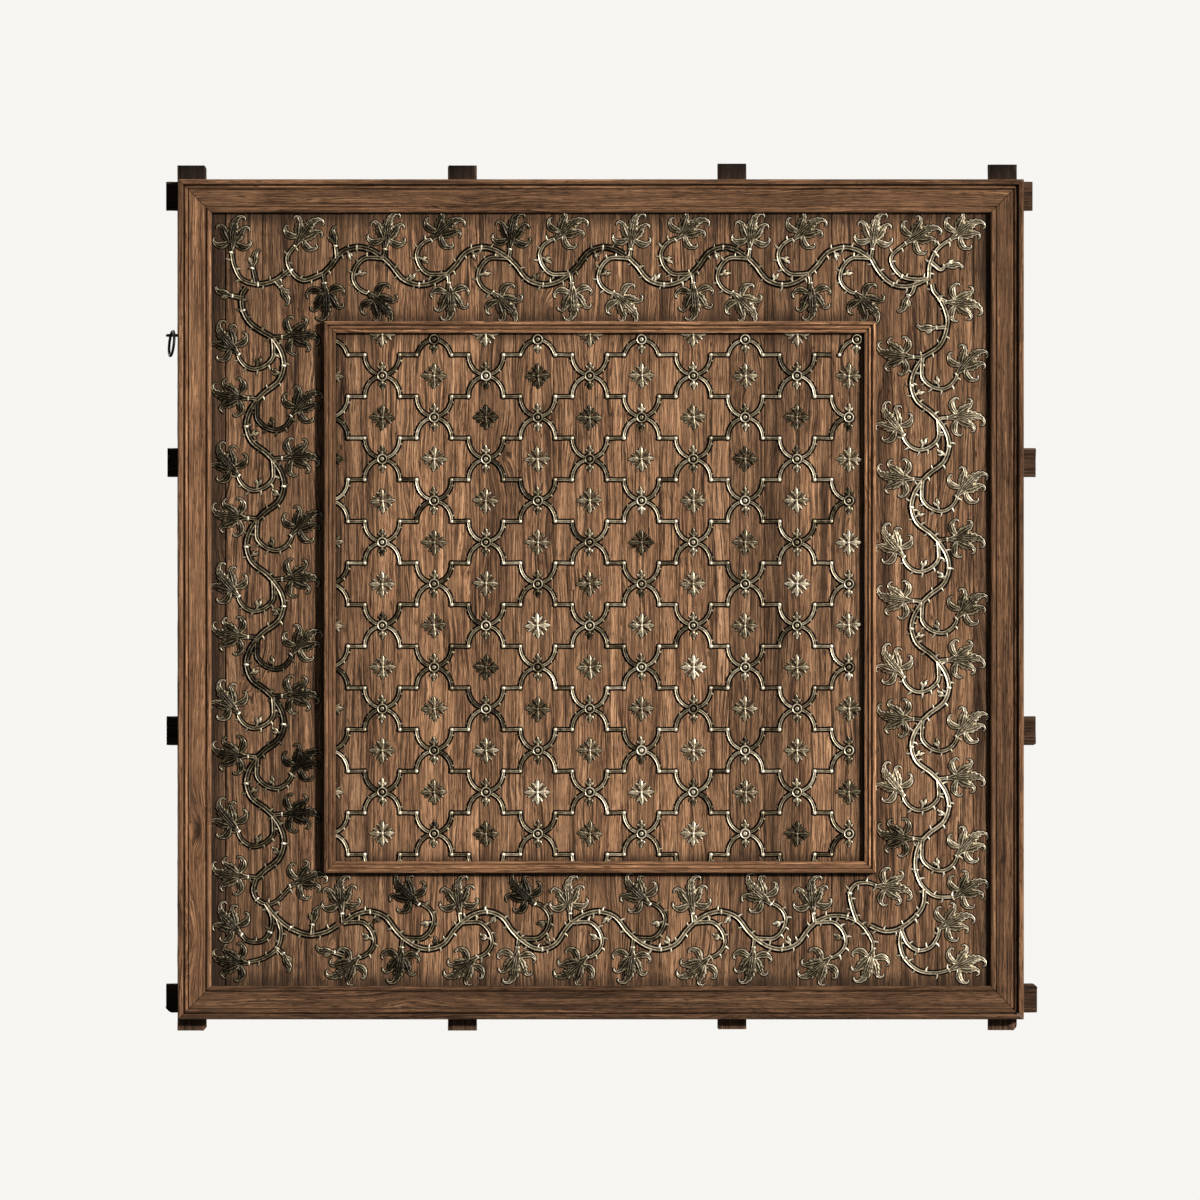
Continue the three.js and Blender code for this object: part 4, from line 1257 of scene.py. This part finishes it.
bow = iron["reach"] - iron["stapleWire"] - iron["legs"]
stapleLine = [(frameEdge - 0.3, iron["y"] + iron["legs"], iron["z"])]
stapleLine += [(frameEdge - bow * s, iron["y"] + iron["legs"], iron["z"]) for s in (0.25, 0.5, 0.75)]
for i in range(13):
    angle = math.pi / 2 + math.pi * i / 12
    stapleLine.append((frameEdge - bow + iron["legs"] * math.cos(angle),
                       iron["y"] + iron["legs"] * math.sin(angle),
                       iron["z"]))
stapleLine += [(frameEdge - bow * s, iron["y"] - iron["legs"], iron["z"]) for s in (0.75, 0.5, 0.25)]
stapleLine.append((frameEdge - 0.3, iron["y"] - iron["legs"], iron["z"]))
toRow = Matrix.Translation((0, 0, -place["originUp"] * 0.001)) @ Matrix.Scale(0.001, 4)
stapleMesh = wireMesh("staple", stapleLine, iron["stapleWire"], False, seed=4)
stapleMesh.transform(toRow)
finishPiece("ironStaple", stapleMesh, blackIron, ["staple"], 60, flat=False)

innerReach = iron["radius"] - iron["wire"] - iron["stapleWire"] - 0.05 - iron["play"]
hang = (
    Matrix.Translation((frameEdge - iron["reach"] * 0.52, iron["y"],
                        iron["z"] - math.sqrt(innerReach ** 2 - iron["legs"] ** 2)))
    @ Matrix.Rotation(math.radians(iron["turn"]), 4, "Z")
    @ Matrix.Rotation(math.radians(iron["lean"]), 4, "Y")
)
angles = [2 * math.pi * i / 64 for i in range(64)]
circle = [hang @ Vector((0, iron["radius"] * math.cos(a), iron["radius"] * math.sin(a))) for a in angles]
ringMesh = wireMesh("ring", circle, iron["wire"], True, seed=9)
ringMesh.transform(toRow)
finishPiece("ironRing", ringMesh, blackIron, ["ring"], 60, flat=False)
for helper in helpers:
    bpy.data.objects.remove(helper)
print("iron ready")


# Floor, light and camera.

studio = {
    "floorBelow": 0.62, "floorSize": (16, 11), "floorGlow": 0.15, "sky": (0.925, 0.915, 0.885), "fill": 0.17,
    "sun": 5.3, "sunFrom": (0.70, -0.66, 0.30), "sunSoft": 6.0, "back": 1.7,
    "distance": 40.07, "lens": 533.3, "centre": (-0.002, 0.0, -0.3095),
}


def addFloor():
    material, tree, shader = newMaterial("paleFloor")
    here = tree.nodes.new("ShaderNodeTexCoord").outputs["Object"]
    colour = ramp(tree, cloud(tree, here, 6, 3), [(0.3, (0.80, 0.79, 0.77)), (0.7, (0.84, 0.83, 0.81))])
    tree.links.new(colour, shader.inputs["Base Color"])
    shader.inputs["Roughness"].default_value = 0.9
    shader.inputs["Emission Color"].default_value = (1.0, 0.99, 0.965, 1)
    shader.inputs["Emission Strength"].default_value = studio["floorGlow"]
    width, depth = studio["floorSize"]
    z = cadLow.z - studio["floorBelow"]
    mesh = bpy.data.meshes.new("floor")
    corners = [(x * width / 2, y * depth / 2, z) for x, y in ((-1, -1), (1, -1), (1, 1), (-1, 1))]
    mesh.from_pydata(corners, [], [(0, 1, 2, 3)])
    mesh.materials.append(material)
    floor = addObject("floor", mesh)
    floor.visible_diffuse = False
    floor.visible_glossy = False


def addSun(name, strength, fromWay, soft):
    light = bpy.data.lights.new(name, "SUN")
    light.energy = strength
    light.angle = math.radians(soft)
    light.color = (1.0, 0.975, 0.94)
    lamp = addObject(name, light)
    lamp.rotation_euler = Vector(fromWay).to_track_quat("Z", "Y").to_euler()


def addSky():
    world = bpy.data.worlds.new("paleRoom")
    world.use_nodes = True
    tree = world.node_tree
    back = next(node for node in tree.nodes if node.type == "BACKGROUND")
    back.inputs["Color"].default_value = (*studio["sky"], 1)
    dim = addNode(tree, "ShaderNodeBackground", {"Color": (0.96, 0.98, 1.0, 1), "Strength": studio["fill"]})
    seen = addNode(tree, "ShaderNodeLightPath", {}, "Is Camera Ray")
    out = next(node for node in tree.nodes if node.type == "OUTPUT_WORLD")
    mix = addNode(tree, "ShaderNodeMixShader", {"Fac": seen, 1: dim, 2: back.outputs[0]})
    tree.links.new(mix, out.inputs["Surface"])
    scene.world = world


addFloor()
addSun("key", studio["sun"], studio["sunFrom"], studio["sunSoft"])
addSun("behind", studio["back"], (-0.5, 0.8, 0.5), 30)
addSky()
scene.view_settings.view_transform = "Standard"

camera = bpy.data.cameras.new("camera")
camera.lens = studio["lens"]
camera.sensor_width = 36
camera.clip_end = 200
cameraObject = addObject("camera", camera)
centre = Vector(studio["centre"])
cameraObject.location = centre + Vector((0, -studio["distance"], 0))
cameraObject.rotation_euler = (math.radians(90), 0, 0)
scene.camera = cameraObject

print("cad", [round(v, 4) for v in (*cadLow, *cadHigh)])
